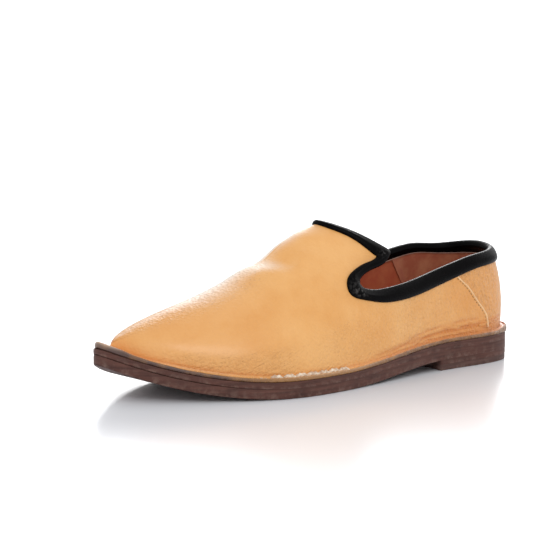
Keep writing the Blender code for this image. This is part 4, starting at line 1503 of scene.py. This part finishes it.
@dataclass
class Studio:
    """Pale floor, soft light and the camera at the photograph's angle."""

    eye: tuple[float, float, float] = (1.12793, -0.89952, 0.25763)
    azimuth: float = 51.428
    elevation: float = 8.578
    focal: float = 2629.08
    target: tuple[float, float, float] = (0.0, 0.0, 0.040)
    target_pixel: tuple[float, float] = (312.05, 305.69)
    # name, strength, width in degrees as the shoe sees it, the direction to it
    softboxes: tuple = (
        ("front_softbox", 0.42, 18.0, (0.80, -0.36, 0.72)), ("rear_softbox", 0.70, 26.0, (-0.76, 0.66, 0.40)),
        ("back_softbox", 0.45, 40.0, (-0.10, 0.95, 0.50)),
    )
    ambient: float = 0.86
    floor: float = 30.0

    def camera(self) -> None:
        """Makes the camera, turned so that the target falls on its pixel."""
        data = bpy.data.cameras.new("photo_camera")
        data.sensor_width = 36.0
        data.lens = self.focal / PHOTO * data.sensor_width
        data.clip_start, data.clip_end = 0.05, 60.0
        item = bpy.data.objects.new("photo_camera", data)
        bpy.context.scene.collection.objects.link(item)
        a, e = math.radians(self.azimuth), math.radians(self.elevation)
        back = Vector((math.sin(a) * math.cos(e), -math.cos(a) * math.cos(e), math.sin(e)))
        distance = (Vector(self.eye) - Vector(self.target)).length
        x, y = (self.target_pixel[0] - PHOTO / 2) / self.focal, (PHOTO / 2 - self.target_pixel[1]) / self.focal
        aim = (-back).to_track_quat("-Z", "Y").to_matrix()
        off = Vector((0.0, 0.0, -1.0)).rotation_difference(Vector((x, y, -1.0)).normalized()).to_matrix()
        turned = aim @ off.inverted()
        item.matrix_world = Matrix.Translation(Vector(self.target) + back * distance) @ turned.to_4x4()
        bpy.context.scene.camera = item

    def build(self) -> None:
        """Builds the studio."""
        scene = bpy.context.scene
        scene.view_settings.view_transform = "Standard"
        scene.world = world = bpy.data.worlds.new("studio")
        world.use_nodes = True
        ground = world.node_tree.nodes["Background"]
        ground.inputs[0].default_value = (1.0, 1.0, 1.0, 1.0)
        ground.inputs[1].default_value = self.ambient
        for name, energy, spread, way in self.softboxes:
            data = bpy.data.lights.new(name, "SUN")
            data.energy, data.angle = energy, math.radians(spread)
            item = bpy.data.objects.new(name, data)
            item.rotation_euler = Vector(way).to_track_quat("Z", "Y").to_euler()
            scene.collection.objects.link(item)
        corners = [(x * self.floor, y * self.floor, 0) for x, y in ((-1, -1), (1, -1), (1, 1), (-1, 1))]
        floor = make_object("floor", corners, [(0, 1, 2, 3)])
        floor.data.materials.append(StudioFloor().make())
        self.camera()


def write_sizes() -> None:
    """Updates the scene's view layer after dressing."""
    bpy.context.view_layer.update()


def main() -> None:
    """Builds every piece in order."""
    logging.basicConfig(level=logging.INFO, format="%(message)s")
    last = Last()
    upper, binding, lining = Upper(last), Binding(last), Lining(last)
    seam = BackSeam(last, upper)
    place(upper.build(CREASES), "upper", ("upper",), GrainedLeather())
    place(binding.build(), "collar_binding", ("collar_binding",),
          PlainLeather("black_binding", "030203", "050405", bump=0.16 * MM, roughness=0.22, specular=0.05))
    place(binding.inner_seam(), "collar_binding", (), PlainLeather("lining_thread", "9A7262", "B4907F"))
    place(lining.build(), "insole", (), PlainLeather("lining_calf", "B4543A", "C26A46", roughness=0.5))
    place(lining.grip(), "insole", (),
          PlainLeather("heel_grip_suede", "A9583A", "C07C58", roughness=0.75, sheen=0.2))
    for side in BOTH:
        place(lining.grip_edge(side), "insole", (),
              PlainLeather("skived_suede", "AC6048", "C0785A", roughness=0.8, sheen=0.05))
    # pale colour of the laps' edges: a painted highlight
    for side in BOTH:
        place(seam.lap(side), "upper", (), GrainedLeather("tan_calf_lap", worn="FFDDAA"))
    place(seam.stitches(), "upper", (), PlainLeather("seam_thread", "9A662F", "C28E50"))
    place(FlangeStitches(last).build(), "upper", (), WaxedThread())
    Bottom(last).build()
    Studio().build()
    write_sizes()


if __name__ == "__main__":
    main()
